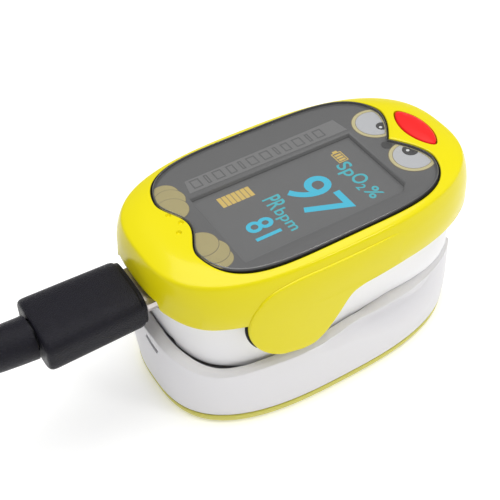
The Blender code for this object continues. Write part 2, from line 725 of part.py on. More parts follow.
# The cord's own route: out of the plug, down to the table, and up to the coil's outer turn
CORD_ROUTE = (
    (CORD_START, 0, 21.2), (-44, 0, 21.3), (-48, 0, 21.5), (-52, -0.1, 21.4), (-56, -0.6, 20.6),
    (-60, -1.7, 18.8), (-64, -3.3, 16.2), (-68, -5.4, 12.8), (-72, -8.0, 9.2), (-76, -10.2, 6.3),
    (-79, -11.6, 4.7), (-81.8, -12.6, 3.8),
)


def charging_cord():
    wire("charging_cord", smooth(CORD_ROUTE, 3), CORD_RADIUS, BLACK, 2)


def cord_coil():
    """The coil's outer shape: a turned ring two layers high."""
    low, high = COIL_Z
    inner, outer = COIL_RADIUS - COIL_BAND / 2, COIL_RADIUS + COIL_BAND / 2
    turned("cord_coil", [(outer, high - 1.5), (outer, low + 1.5), (outer - 1.5, low), (inner + 1.5, low),
                         (inner, low + 1.5), (inner, high - 1.5), (inner + 1.5, high), (outer - 1.5, high)],
           COIL_MIDDLE, BLACK)


def cord_tie():
    """A strap round the bundle of turns, on the side away from the meter's socket."""
    x, y = COIL_MIDDLE
    hole = math.sqrt((COIL_RADIUS - COIL_BAND / 2) ** 2 - (TIE_WIDTH / 2) ** 2)
    inner, outer = x + hole - 2 * GAP, x + COIL_RADIUS + COIL_BAND / 2 + GAP
    low, high = COIL_Z[0] - GAP, COIL_Z[1] + GAP
    first = (inner - TIE_THICK, y - TIE_WIDTH / 2, low - TIE_THICK)
    last = (outer + TIE_THICK, y + TIE_WIDTH / 2, high + TIE_THICK)
    tie = box("cord_tie", first, last, TIE_GREY)
    cut(tie, box("tie_hollow", (inner, y - TIE_WIDTH, low), (outer, y + TIE_WIDTH, high)))


def far_plug():
    """The USB-A plug, lying on the coil: strain relief, body and metal shell."""
    x0, y, z = FAR_PLUG
    sections = [(x0, 2.6, 2.6), (x0 + 7.0, 3.4, 3.2)]
    loft("far_strain_relief", [(x, rounded(a, b, 2, 2, 20, (y, z))) for x, a, b in sections], BLACK, "X")
    first = x0 + 7.0 + GAP
    last = first + 20.0
    sections = []
    for x, share in ((first, 0.88), (first + 1.2, 1.0), (last - 0.8, 1.0), (last, 0.93)):
        half_width, half_height = [half * share for half in FAR_BODY_HALF]
        sections.append((x, rounded(half_width, half_height, 4, 4, 28, (y, z))))
    loft("far_plug_body", sections, BLACK, "X")
    half_width, half_height = FAR_METAL_HALF
    corners = [(y - half_width, z - half_height), (y + half_width, z - half_height),
               (y + half_width, z + half_height), (y - half_width, z + half_height)]
    metal = slab("far_plug_shell", corners, last + GAP, last + GAP + 18.0, STEEL, axis="X")
    cut(metal, box("far_plug_hollow", (last + 1.5, y - half_width + GAP, z - 0.2),
                   (last + 22, y + half_width - GAP, z + half_height - GAP)))


def cord_tail():
    """From the top of the coil, through a quarter turn, to the far plug."""
    x, y = COIL_MIDDLE
    middle = (x - COIL_RADIUS - 4.8 + TAIL_TURN, y)
    points = []
    for i in range(9):
        angle = math.radians(205 - 115 * i / 8)
        rise = ease(i / 8)
        points.append((middle[0] + TAIL_TURN * math.cos(angle), middle[1] + TAIL_TURN * math.sin(angle),
                       TAIL_LOW + (FAR_PLUG[2] - TAIL_LOW) * rise))
    points.append((FAR_PLUG[0] - GAP, FAR_PLUG[1], FAR_PLUG[2]))
    wire("cord_tail", points, CORD_RADIUS, BLACK, 2)


# ---------------------------------------------------------------- joint axes

UPPER_HALF = (
    "upper_shell", "sensor_board", "upper_finger_pad", "main_board", "board_screw_1", "board_screw_2",
    "charging_socket", "display_bracket", "display_panel", "display_window", "top_cover", "tactile_switch",
)


def hang(axis_name, middle, names, parent=None):
    """Parents parts to an empty on their joint's axis, and leaves them where they are."""
    axis = bpy.data.objects.new(axis_name, None)
    axis.empty_display_size = 3 * MM
    axis.location = Vector(middle) * MM
    parts.objects.link(axis)
    bpy.context.view_layer.update()
    children = [bpy.data.objects[name] for name in names]
    for child, holder in [*((piece, axis) for piece in children), *([(axis, parent)] if parent else [])]:
        child.parent = holder
        child.matrix_parent_inverse = holder.matrix_world.inverted()
    return axis


def joint_axes():
    """The hinge carries the upper half, which carries the button and the charging plug."""
    hinge = hang("jaw_hinge_axis", (PIVOT[0], 0, PIVOT[1]), UPPER_HALF)
    hang("button_press_axis", (BUTTON_X, 0, HEIGHT), ("power_button", "switch_plunger"), hinge)
    plug = ("plug_metal_shell", "plug_overmold", "plug_strain_relief")
    hang("plug_pull_axis", (PORT_MOUTH, 0, PORT_Z), plug, hinge)


def main():
    bottom_cover()
    bottom_screws()
    lower_shell()
    rechargeable_cell()
    emitter_board()
    lower_finger_pad()
    hinge_pin()
    torsion_springs()
    flex_ribbon()
    upper_shell()
    sensor_board()
    upper_finger_pad()
    main_board()
    board_screws()
    charging_socket()
    display_bracket()
    display_panel()
    display_window()
    top_cover()
    power_button()
    tactile_switch()
    charging_plug()
    charging_cord()
    cord_coil()
    cord_tie()
    cord_tail()
    far_plug()
    joint_axes()


main()
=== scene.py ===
"""Looks of the fingertip pulse oximeter and its charging lead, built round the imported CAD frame.

Frame: +X towards the finger opening, -X towards the charging socket, +Z up, base on z = 0.
Sizes are in millimetres in the code below; MM turns them into Blender's metres.
"""

import math

import bmesh
import bpy
from mathutils import Matrix, Vector


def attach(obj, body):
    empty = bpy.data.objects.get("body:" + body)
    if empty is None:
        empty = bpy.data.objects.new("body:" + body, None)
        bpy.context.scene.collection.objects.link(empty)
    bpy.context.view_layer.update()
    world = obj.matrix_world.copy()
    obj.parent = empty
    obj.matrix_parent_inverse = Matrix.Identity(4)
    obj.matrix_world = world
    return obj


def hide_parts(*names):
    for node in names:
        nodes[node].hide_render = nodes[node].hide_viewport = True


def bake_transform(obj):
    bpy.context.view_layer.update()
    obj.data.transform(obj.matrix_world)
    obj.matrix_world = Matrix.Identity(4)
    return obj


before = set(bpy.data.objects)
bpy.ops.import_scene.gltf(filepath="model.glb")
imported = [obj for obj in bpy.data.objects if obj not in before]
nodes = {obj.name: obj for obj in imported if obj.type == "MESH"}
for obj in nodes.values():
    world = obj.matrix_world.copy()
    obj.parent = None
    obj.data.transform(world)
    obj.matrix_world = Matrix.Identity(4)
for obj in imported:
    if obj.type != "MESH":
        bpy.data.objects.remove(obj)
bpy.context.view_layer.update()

MM = 0.001

# The CAD's own dimensions
HALF_LENGTH, HALF_WIDTH = 26.9, 15.9
COVER_MIDDLE = (0.35, 0)
LOWER_MIDDLE = (-0.4, 0)
WINDOW_TOP = 29.0
WINDOW_HALF = (19.6, 13.3)
FRONT_NOTCH, REAR_NOTCH = (3.5, 7.0), (2.2, 6.3)
GAP = 0.3
COVER_LOW = 20.9
BASE_HALF, RIM_HALF = (25.1, 15.3), (25.9, 14.8)
UPPER_TOP_HALF, UPPER_LOW_HALF = (24.6, 14.2), (24.0, 13.1)
SHELL_LOW = 1.62
BUTTON_X, BUTTON_HALF = 21.4, (4.65, 1.9)
WING_MIDDLE, WING_RADIUS = (-10.4, 20.0), 6.6
PORT_Z = 21.0
TUNNEL_Z, MOUTH_HALF = 13.6, (9.0, 5.0)
SCREW_PLACES = [(x, y) for x in (-17.5, 17.5) for y in (-9.0, 9.0)]

# How boxy the outlines are, behind and ahead: 2 would be a true oval
REAR_POWER, FRONT_POWER = 2.9, 2.6
LOWER_POWERS = (2.8, 2.6)


# ---- camera

CAMERA_AZIMUTH, CAMERA_ELEVATION = math.radians(-33.27), math.radians(40.3)
CAMERA_DISTANCE = 150.0
SENSOR_WIDTH, LENS_LENGTH = 36, 75.6
LENS_SHIFT = (-0.094, -0.1456)


def add_camera():
    """A camera at the object's right rear, looking down on the charging plug's side."""
    az, el = CAMERA_AZIMUTH, CAMERA_ELEVATION
    back = Vector((math.sin(az) * math.cos(el), -math.cos(az) * math.cos(el), math.sin(el)))
    right = Vector((math.cos(az), math.sin(az), 0))
    up = back.cross(right)
    camera = bpy.data.objects.new("camera", bpy.data.cameras.new("camera"))
    turn = Matrix((right, up, back)).transposed().to_4x4()
    place = (Vector((0, 0, WINDOW_TOP)) + back * CAMERA_DISTANCE) * MM
    camera.matrix_world = Matrix.Translation(place) @ turn
    camera.data.sensor_width = SENSOR_WIDTH
    camera.data.lens = LENS_LENGTH
    camera.data.shift_x, camera.data.shift_y = LENS_SHIFT
    camera.data.clip_start = 0.001
    bpy.context.scene.collection.objects.link(camera)
    bpy.context.scene.camera = camera


add_camera()


# ---- small tools

def smooth(points, steps):
    """A Catmull-Rom curve through points of any dimension."""
    ends = [points[0], *points, points[-1]]
    out = []
    for a, b, c, d in zip(ends, ends[1:], ends[2:], ends[3:]):
        for i in range(steps):
            t = i / steps
            out.append(tuple(
                0.5 * (2 * b[k] + (c[k] - a[k]) * t + (2 * a[k] - 5 * b[k] + 4 * c[k] - d[k]) * t * t
                       + (3 * b[k] - a[k] - 3 * c[k] + d[k]) * t ** 3)
                for k in range(len(b))
            ))
    return [*out, tuple(points[-1])]


def ease(value):
    """0 to 1 with a level start and end."""
    value = min(1.0, max(0.0, value))
    return value * value * (3 - 2 * value)


def along(table, value):
    """The second number of a table of pairs at a value of the first, in straight runs."""
    if value <= table[0][0]:
        return table[0][1]
    for (a, low), (b, high) in zip(table, table[1:]):
        if value <= b:
            return low + (high - low) * (value - a) / max(b - a, 1e-9)
    return table[-1][1]


def oval_reach(angle, half_length, half_width, rear_power=REAR_POWER, front_power=FRONT_POWER):
    """How far from its middle a boxy oval's edge lies at an angle."""
    power = front_power if math.cos(angle) > 0 else rear_power
    across, ahead = abs(math.sin(angle)) / half_width, abs(math.cos(angle)) / half_length
    return (across ** power + ahead ** power) ** (-1 / power)


def rounded(half_length, half_width, rear_power=REAR_POWER, front_power=FRONT_POWER, count=240,
            middle=(0, 0)):
    """A boxy oval, as points at even angles round its middle."""
    points = []
    for i in range(count):
        angle = math.tau * i / count
        reach = oval_reach(angle, half_length, half_width, rear_power, front_power)
        points.append((middle[0] + reach * math.cos(angle), middle[1] + reach * math.sin(angle)))
    return points


def notch_dip(x, y):
    """How far the window's end is notched at a point: pointed at the front, round at the rear."""
    depth, reach = FRONT_NOTCH if x > 0 else REAR_NOTCH
    near = max(0.0, 1 - abs(y) / reach)
    return depth * (near ** 1.6 if x > 0 else math.sin(near * math.pi / 2) ** 2)


def window_outline(inset, count=320):
    """The window's edge pulled in by a distance, with its two notches."""
    points = []
    for x, y in rounded(WINDOW_HALF[0] - inset, WINDOW_HALF[1] - inset, 4.0, 4.0, count):
        points.append((x - math.copysign(notch_dip(x, y), x), y))
    return points


def in_window(x, y, inset):
    """Whether a point lies inside the window, in from its edge."""
    across = abs(y) / (WINDOW_HALF[1] - inset)
    ahead = (abs(x) + notch_dip(x, y)) / (WINDOW_HALF[0] - inset)
    return across ** 4 + ahead ** 4 < 1


def almond(half_length, half_width, x, count=72):
    """A leaf shape across the body, pointed at both ends."""
    points = []
    for i in range(count):
        angle = math.tau * i / count
        reach = math.cos(angle)
        bulge = half_width * math.sin(angle) * (1 - 0.25 * reach * reach)
        points.append((x + bulge, half_length * reach))
    return points


def put(name, mesh, look, body, replaces=(), sharp=35):
    """Makes a mesh a piece: its material, smooth shading, its body if one is given, and what it
    stands for."""
    mesh.name = name
    mesh.materials.clear()
    mesh.materials.append(look)
    mesh.shade_smooth()
    mesh.set_sharp_from_angle(angle=math.radians(sharp))
    piece = bpy.data.objects.new(name, mesh)
    bpy.context.scene.collection.objects.link(piece)
    if body:
        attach(piece, body)
    if replaces:
        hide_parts(*replaces)
    return piece


def skin_mesh(rings, loop=False):
    """A closed mesh through rings of equal count: capped at both ends, or joined end to end."""
    mesh = bpy.data.meshes.new("shape")
    made = bmesh.new()
    rows = [[made.verts.new(Vector(place) * MM) for place in ring] for ring in rings]
    pairs = list(zip(rows, rows[1:]))
    if loop:
        pairs.append((rows[-1], rows[0]))
    else:
        made.faces.new(reversed(rows[0]))
        made.faces.new(rows[-1])
    for low, high in pairs:
        for i in range(len(low)):
            j = (i + 1) % len(low)
            made.faces.new((low[i], low[j], high[j], high[i]))
    bmesh.ops.recalc_face_normals(made, faces=made.faces)
    made.to_mesh(mesh)
    made.free()
    return mesh


def at_height(outline, z):
    return [(x, y, z) for x, y in outline]


def at_x(outline, x):
    return [(x, a, b) for a, b in outline]


def along_x(table, half, power, count, middle, start=0.0):
    """Upright sections, from a table of steps along X and shares of the full half size."""
    return [at_x(rounded(half[0] * share, half[1] * share, power, power, count, middle), start + step)
            for step, share in table]


def prism_mesh(outline, low, high, edge=0.0):
    """An upright block of an outline, with its upper edge cut back by a small slope."""
    middle = [sum(p[k] for p in outline) / len(outline) for k in (0, 1)]
    widest = max(math.dist(p, middle) for p in outline)
    share = 1 - edge / widest
    top = [tuple(middle[k] + (p[k] - middle[k]) * share for k in (0, 1)) for p in outline]
    rings = [at_height(outline, low), at_height(outline, high - edge)]
    if edge:
        rings.append(at_height(top, high))
    return skin_mesh(rings)


def rectangle(low, high):
    return [low, (high[0], low[1]), high, (low[0], high[1])]


def box_mesh(low, high):
    return prism_mesh(rectangle(low[:2], high[:2]), low[2], high[2])


def joined(meshes):
    """Several closed meshes in one, side by side."""
    mesh = bpy.data.meshes.new("shape")
    made = bmesh.new()
    for part in meshes:
        made.from_mesh(part)
    made.to_mesh(mesh)
    made.free()
    return mesh


def carve(mesh, tool):
    """The mesh with a tool mesh cut out of it; both helpers are removed."""
    piece = bpy.data.objects.new("carved", mesh)
    cutter = bpy.data.objects.new("tool", tool)
    for helper in (piece, cutter):
        bpy.context.scene.collection.objects.link(helper)
    change = piece.modifiers.new("cut", "BOOLEAN")
    change.operation = "DIFFERENCE"
    change.object = cutter
    change.solver = "EXACT"
    bpy.context.view_layer.update()
    graph = bpy.context.evaluated_depsgraph_get()
    result = bpy.data.meshes.new_from_object(piece.evaluated_get(graph))
    for helper in (piece, cutter):
        bpy.data.objects.remove(helper, do_unlink=True)
    return result


def rod_mesh(start, end, radius, sides=24, end_radius=None):
    """A round rod from start to end, or a cone where the end has its own radius."""
    mesh = bpy.data.meshes.new("shape")
    made = bmesh.new()
    first, last = Vector(start) * MM, Vector(end) * MM
    turn = (last - first).to_track_quat("Z", "Y").to_matrix().to_4x4()
    bmesh.ops.create_cone(
        made, cap_ends=True, segments=sides, radius1=radius * MM,
        radius2=(radius if end_radius is None else end_radius) * MM,
        depth=(last - first).length, matrix=Matrix.Translation((first + last) / 2) @ turn,
    )
    made.to_mesh(mesh)
    made.free()
    return mesh


# ---- materials

def surface(name, colour, roughness, spread=0.03, patch=9.0, grain=0.35, bump=0.05, uneven=0.05,
            metallic=0.0, streak=None, **sockets):
    """A Principled material with soft colour patches, uneven gloss and a fine moulded grain.
    patch and grain are in millimetres; streak stretches the grain along one axis."""
    made = bpy.data.materials.new(name)
    made.use_nodes = True
    tree = made.node_tree
    shader = tree.nodes["Principled BSDF"]
    shader.inputs["Metallic"].default_value = metallic
    for socket, value in sockets.items():
        shader.inputs[socket.replace("_", " ")].default_value = value

    def node(kind, **values):
        new = tree.nodes.new(kind)
        for key, value in values.items():
            setattr(new, key, value)
        return new

    place = node("ShaderNodeTexCoord")

    def noise(size, detail=2.0, stretch=None):
        found = node("ShaderNodeTexNoise")
        found.inputs["Scale"].default_value = 1 / (size * MM)
        found.inputs["Detail"].default_value = detail
        source = place.outputs["Object"]
        if stretch:
            mapping = node("ShaderNodeMapping")
            mapping.inputs["Scale"].default_value = stretch
            tree.links.new(source, mapping.inputs["Vector"])
            source = mapping.outputs["Vector"]
        tree.links.new(source, found.inputs["Vector"])
        return found.outputs["Fac"]

    blotch = noise(patch)
    mix = node("ShaderNodeMix", data_type="RGBA")
    mix.inputs["A"].default_value = (*[c * (1 - spread) for c in colour], 1)
    mix.inputs["B"].default_value = (*[min(1.0, c * (1 + spread)) for c in colour], 1)
    tree.links.new(blotch, mix.inputs["Factor"])
    tree.links.new(mix.outputs["Result"], shader.inputs["Base Color"])
    gloss = node("ShaderNodeMapRange")
    gloss.inputs["To Min"].default_value = max(0.02, roughness - uneven)
    gloss.inputs["To Max"].default_value = roughness + uneven
    tree.links.new(noise(patch / 3, 3.0), gloss.inputs["Value"])
    tree.links.new(gloss.outputs["Result"], shader.inputs["Roughness"])
    relief = node("ShaderNodeBump")
    relief.inputs["Strength"].default_value = bump
    relief.inputs["Distance"].default_value = grain * MM
    tree.links.new(noise(grain, 3.0, streak), relief.inputs["Height"])
    tree.links.new(relief.outputs["Normal"], shader.inputs["Normal"])
    return made


def glow(name, colour, strength):
    """A lit part of the readout: a dark tint of the colour that gives off its light."""
    made = surface(name, [c * 0.25 for c in colour], 0.5, grain=0.2, bump=0.02)
    shader = made.node_tree.nodes["Principled BSDF"]
    shader.inputs["Emission Color"].default_value = (*colour, 1)
    shader.inputs["Emission Strength"].default_value = strength
    return made


# Name, colour, roughness, spread of the colour, patch, grain, its relief, unevenness of the gloss
YELLOW = surface("yellow_plastic", (0.775, 0.675, 0.003), 0.30, 0.012, 14.0, 0.30, 0.010, 0.02,
                 Specular_IOR_Level=0.18, Coat_Weight=0.22, Coat_Roughness=0.12)
# Darker, greyer copy of the yellow plastic, for the base cover: painted shade
SHADED_YELLOW = surface("yellow_base_painted_shade", (0.64, 0.595, 0.115), 0.42, 0.02, 14.0, 0.30, 0.035, 0.04)
WHITE = surface("white_plastic", (0.88, 0.875, 0.89), 0.36, 0.012, 16.0, 0.30, 0.03)
# Darker copy of the white plastic, for the lower shell: painted shade
SHADED_WHITE = surface("white_plastic_painted_shade", (0.765, 0.755, 0.775), 0.38, 0.012, 16.0, 0.30, 0.03)
SILICONE = surface("silicone", (0.80, 0.80, 0.79), 0.62, 0.02, 6.0, 0.22, 0.10,
                   Sheen_Weight=0.15, Sheen_Roughness=0.5)
RED = surface("red_plastic", (0.90, 0.020, 0.020), 0.40, 0.03, 3.0, 0.25, 0.04,
              Specular_IOR_Level=0.16)
BLACK = surface("black_overmould", (0.0065, 0.006, 0.011), 0.37, 0.35, 0.7, 0.17, 0.8, 0.14,
                Specular_IOR_Level=0.20)
SHEATH = surface("black_sheath", (0.012, 0.0115, 0.015), 0.44, 0.12, 2.5, 0.22, 0.3, 0.08,
                 Specular_IOR_Level=0.34)
STEEL = surface("plated_steel", (0.60, 0.56, 0.545), 0.36, 0.05, 2.0, 0.10, 0.06, 0.06,
                metallic=1.0, streak=(1, 14, 14))
SPRING_STEEL = surface("spring_steel", (0.50, 0.50, 0.52), 0.24, 0.06, 1.0, 0.08, metallic=1.0)
# Near-black painted shadow, for the gap round the lens and the gap under each wing's rear edge
GAP_SHADOW = surface("black_gap_shadow", (0.003, 0.003, 0.003), 0.55, 0.1, 2.0, 0.2, Specular_IOR_Level=0.15)
PRINT = surface("window_print", (0.088, 0.088, 0.089), 0.50, 0.05, 7.0, 0.15, 0.04)
# Dark grey band on the plate just inside the lens edge: painted shade
EDGE_SHADE = surface("window_edge_shade", (0.050, 0.049, 0.051), 0.5, 0.08, 3.0, 0.15, 0.04)
LENS_EDGE = surface("lens_edge", (0.10, 0.10, 0.10), 0.12, 0.05, 2.0, 0.3, 0.02, 0.03,
                    Specular_IOR_Level=0.9)
# Near-black walls of the recess round the screen: painted shade
WELL_SHADE = surface("window_well_shade", (0.040, 0.039, 0.041), 0.6, 0.05, 4.0, 0.15, 0.04)
STRIP = surface("window_strip", (0.165, 0.165, 0.165), 0.46, 0.04, 5.0, 0.15)
SCREEN = surface("screen_glass", (0.118, 0.119, 0.120), 0.30, 0.04, 9.0, 0.20, 0.02)
BOARD = surface("solder_mask", (0.015, 0.14, 0.05), 0.42, 0.18, 1.2, 0.30, 0.15)
FOIL = surface("cell_foil", (0.55, 0.56, 0.58), 0.34, 0.06, 4.0, 0.8, 0.20, metallic=0.8)
AMBER = surface("film_ribbon", (0.48, 0.20, 0.03), 0.35, 0.10, 1.5, 0.3, 0.06)
SWITCH = surface("switch_plastic", (0.03, 0.03, 0.032), 0.45, 0.10, 1.0, 0.15, 0.08)
BRASS = surface("gold_contact", (0.83, 0.58, 0.22), 0.25, 0.04, 0.6, 0.06, 0.04, metallic=1.0)
TONGUE = surface("contact_block", (0.72, 0.72, 0.70), 0.5, 0.03, 2.0, 0.2)
CREAM = surface("eye_rim", (0.62, 0.55, 0.27), 0.5, 0.04, 1.5, 0.15, 0.03)
EYE = surface("eye_white", (0.54, 0.55, 0.57), 0.5, 0.03, 1.5, 0.15, 0.02)
EDGE_LINE = surface("eye_edge", (0.20, 0.155, 0.07), 0.5, 0.05, 1.0, 0.1, 0.03)
IRIS = surface("eye_iris", (0.03, 0.03, 0.033), 0.4, 0.08, 0.8, 0.1, 0.03)
PUPIL = surface("eye_dark", (0.012, 0.012, 0.013), 0.35, 0.1, 0.8, 0.1, 0.03)
SPARK = surface("eye_spark", (0.80, 0.82, 0.82), 0.5, 0.02, 0.5, 0.1, 0.02)
TAN = surface("toe_tan", (0.43, 0.36, 0.135), 0.5, 0.05, 1.2, 0.12, 0.04)
TAN_LINE = surface("toe_line", (0.17, 0.14, 0.07), 0.5, 0.05, 1.0, 0.1, 0.03)
CYAN = glow("readout_cyan", (0.008, 0.56, 0.80), 0.72)
TEAL = glow("readout_teal", (0.03, 0.48, 0.56), 0.75)
AMBER_GLOW = glow("readout_amber", (0.72, 0.50, 0.10), 0.75)


def smoked_lens():
    """Clear smoked plastic with a polished face. What lies under it shows through."""
    made = surface("smoked_lens", (0.30, 0.30, 0.30), 0.06, 0.02, 12.0, 2.5, 0.015, 0.02)
    made.node_tree.nodes["Principled BSDF"].inputs["Alpha"].default_value = 0.11
    return made


def woven(name, colour, pitch):
    """A flat woven strap: crossed ribs from two wave textures."""
    made = surface(name, colour, 0.85, 0.25, 1.0, 0.25, 0.3, Sheen_Weight=0.4)
    tree = made.node_tree
    place = tree.nodes["Texture Coordinate"]
    waves = []
    for direction in ("X", "Y"):
        wave = tree.nodes.new("ShaderNodeTexWave")
        wave.bands_direction = direction
        wave.inputs["Scale"].default_value = 0.32 / (pitch * MM)
        wave.inputs["Distortion"].default_value = 0.6
        tree.links.new(place.outputs["Object"], wave.inputs["Vector"])
        waves.append(wave.outputs["Fac"])
    both = tree.nodes.new("ShaderNodeMath")
    both.operation = "MULTIPLY"
    for socket, wave in zip(both.inputs, waves):
        tree.links.new(wave, socket)
    relief = tree.nodes.new("ShaderNodeBump")
    relief.inputs["Strength"].default_value = 0.8
    relief.inputs["Distance"].default_value = pitch * MM / 2
    tree.links.new(both.outputs["Value"], relief.inputs["Height"])
    tree.links.new(tree.nodes["Bump"].outputs["Normal"], relief.inputs["Normal"])
    tree.links.new(relief.outputs["Normal"], tree.nodes["Principled BSDF"].inputs["Normal"])
    return made


LENS = smoked_lens()
STRAP = woven("woven_strap", (0.035, 0.035, 0.04), 0.45)


def paint(look, *names):
    """Gives the CAD nodes that aren't replaced a finished material."""
    for name in names:
        shown = nodes[name]
        shown.data.materials.clear()
        shown.data.materials.append(look)
        shown.data.polygons.foreach_set("material_index", [0] * len(shown.data.polygons))


# ---- yellow top cover

# Distance in from the cover's widest outline, and height: a near-upright wall, a tight edge, a low dome
COVER_PROFILE = (
    (0.0, 20.9), (0.03, 22.5), (0.10, 24.2), (0.26, 25.6), (0.48, 26.6), (0.68, 27.25), (0.82, 27.64),
    (0.92, 27.86), (1.06, 28.04), (1.30, 28.18), (1.8, 28.37), (2.6, 28.62), (3.8, 28.88), (5.5, 29.0),
)
COVER_TABLE = smooth(COVER_PROFILE, 4)
WALL_TABLE = smooth([(z, inset) for inset, z in COVER_PROFILE], 4)
COVER_COUNT = 320
SEAT_Z = 27.65
PLUG_NOTCH_RISE = 2.5
# Distance in, then the height over the lower edge where that is level and where it is notched
COVER_EDGE = (
    (0.07, 3.24, 0.9), (0.03, 2.16, 0.6), (0.0, 0.22, 0.22), (0.06, 0.06, 0.06), (0.22, 0.0, 0.0),
    (1.08, 0.0, 0.0), (1.24, 0.06, 0.06), (1.3, 0.22, 0.22),
)
DIMPLE_PLACES = ((-19.2, 2.9), (-18.4, 0.7), (-19.6, -0.9))


def cover_oval(inset):
    return rounded(HALF_LENGTH - inset, HALF_WIDTH - inset, count=COVER_COUNT, middle=COVER_MIDDLE)


def cover_power(x):
    return FRONT_POWER if x > COVER_MIDDLE[0] else REAR_POWER


def cover_inset(x, y):
    """How far inside the cover's widest outline a point lies, by halving."""
    low, high = -1.0, HALF_WIDTH - 1
    power = cover_power(x)
    for _ in range(24):
        middle = (low + high) / 2
        ahead = abs(x - COVER_MIDDLE[0]) / (HALF_LENGTH - middle)
        if ahead ** power + (abs(y) / (HALF_WIDTH - middle)) ** power > 1:
            high = middle
        else:
            low = middle
    return low


def cover_top(x, y):
    """The height of the dome over a point."""
    return along(COVER_TABLE, cover_inset(x, y))


def cover_lower_edge(x, y):
    """The cover ends level, but rises a little behind and is notched round the charging plug."""
    if x > 0:
        return COVER_LOW
    rise = 1.1 * ease((12.5 - abs(y)) / 6.0) * ease((-x - 18) / 4)
    return COVER_LOW + rise + (PLUG_NOTCH_RISE - rise) * ease((6.4 - abs(y)) / 0.6)


def cover_rings():
    """From the window's seat over the dome, down the wall, round the lower edge and up inside."""
    rings = [at_height(window_outline(inset), z) for inset, z in (
        (1.2, 26.6), (1.2, SEAT_Z), (-GAP, SEAT_Z))]
    for inset, drop in ((-GAP, 0.14), (-GAP - 0.05, 0.05), (-GAP - 0.16, 0.0)):
        rings.append([(x, y, cover_top(x, y) - drop) for x, y in window_outline(inset)])
    start, end = window_outline(-GAP - 0.16), cover_oval(1.8)
    for share in (0.12, 0.3, 0.5, 0.7, 0.88, 1.0):
        ring = []
        for (x0, y0), (x1, y1) in zip(start, end):
            x, y = x0 + (x1 - x0) * share, y0 + (y1 - y0) * share
            ring.append((x, y, cover_top(x, y)))
        rings.append(ring)
    for inset, z in reversed([pair for pair in COVER_TABLE if 24.5 < pair[1] < 28.35]):
        rings.append(at_height(cover_oval(inset), z))
    low = [cover_lower_edge(x, y) for x, y in cover_oval(0)]
    for inset, level_rise, notch_rise in COVER_EDGE:
        rings.append([(x, y, z + (level_rise if z < COVER_LOW + 0.1 else notch_rise))
                      for (x, y), z in zip(cover_oval(inset), low)])
    for inset, z in ((1.55, 24.6), (1.9, 25.6), (2.6, 26.4), (3.2, 26.6)):
        rings.append(at_height(cover_oval(inset), z))
    return rings


def top_cover():
    mesh = skin_mesh(cover_rings(), loop=True)
    hole = almond(BUTTON_HALF[0] + 0.3, BUTTON_HALF[1] + 0.22, BUTTON_X)
    mesh = carve(mesh, prism_mesh(hole, 24, 32))
    for x, y in DIMPLE_PLACES:
        top = cover_top(x, y)
        mesh = carve(mesh, rod_mesh((x, y, top - 0.34), (x, y, top + 0.2), 0.22, 28, 0.55))
    put("cover", mesh, YELLOW, "upper_half", ["top_cover"], 32)


WING_TAIL = ((-9.4, 13.25), (-7.4, 13.5), (-5.4, 14.9), (-3.4, 17.3), (-1.4, 19.9), (0.6, 20.75),
             (3.0, 20.95), (8.0, 21.0))
WING_TOP = ((12.0, 22.6), (11.0, 25.6), (6.8, 26.65), (0.0, 26.8), (-5.0, 26.8), (-9.4, 26.7),
            (-13.0, 26.0), (-15.0, 24.8))
WING_PROUD, WING_SUNK = 0.24, -1.05
# How far outside the cover's wall, and in from the outline: the wing's rounded edge
WING_EDGE = ((WING_PROUD, 0.26), (0.23, 0.14), (0.19, 0.06), (0.11, 0.01), (0.0, 0.0), (-0.9, 0.0),
             (WING_SUNK, 0.1))
SHADOW_LINE_RADIUS = 6.66


def wing_outline():
    """The raised lobe over the hinge, seen from the side, with its long tail towards the front."""
    x, z = WING_MIDDLE
    points = []
    for i in range(25):
        angle = math.radians(150 + 105 * i / 24)
        points.append((x + WING_RADIUS * math.cos(angle), z + WING_RADIUS * math.sin(angle)))
    return points + smooth(WING_TAIL, 5) + smooth(WING_TOP, 4)


def wall_reach(x, z):
    """Half the cover's width at a place along its side wall."""
    inset = along(WALL_TABLE, z)
    power = cover_power(x)
    share = abs(x - COVER_MIDDLE[0]) / (HALF_LENGTH - inset)
    return (HALF_WIDTH - inset) * (1 - share ** power) ** (1 / power)


def wing(side, name):
    """The raised lobe on one side of the cover. It fades into the wall towards the front."""
    middle = (WING_MIDDLE[0] + 2.5, WING_MIDDLE[1] + 1.5)
    outline = wing_outline()

    def ring(proud, inset=0.0, share=1.0):
        """The outline pulled in by a share and a distance, and laid that far outside the cover's wall."""
        places = []
        for x, z in outline:
            part = share * (1 - inset / math.dist((x, z), middle))
            px, pz = middle[0] + (x - middle[0]) * part, middle[1] + (z - middle[1]) * part
            fade = 1 - ease((px - 1.0) / 9.0) if proud > 0 else 1
            places.append((px, side * (wall_reach(px, pz) + proud * fade - 0.04 * (1 - fade)), pz))
        return places

    rings = [ring(WING_PROUD, share=share) for share in (0.04, 0.2, 0.4, 0.6, 0.78, 0.88)]
    rings += [ring(proud, inset) for proud, inset in WING_EDGE]
    rings += [ring(WING_SUNK, share=share) for share in (0.8, 0.04)]
    put(f"wing_{name}", skin_mesh(rings), YELLOW, "upper_half", (), 50)


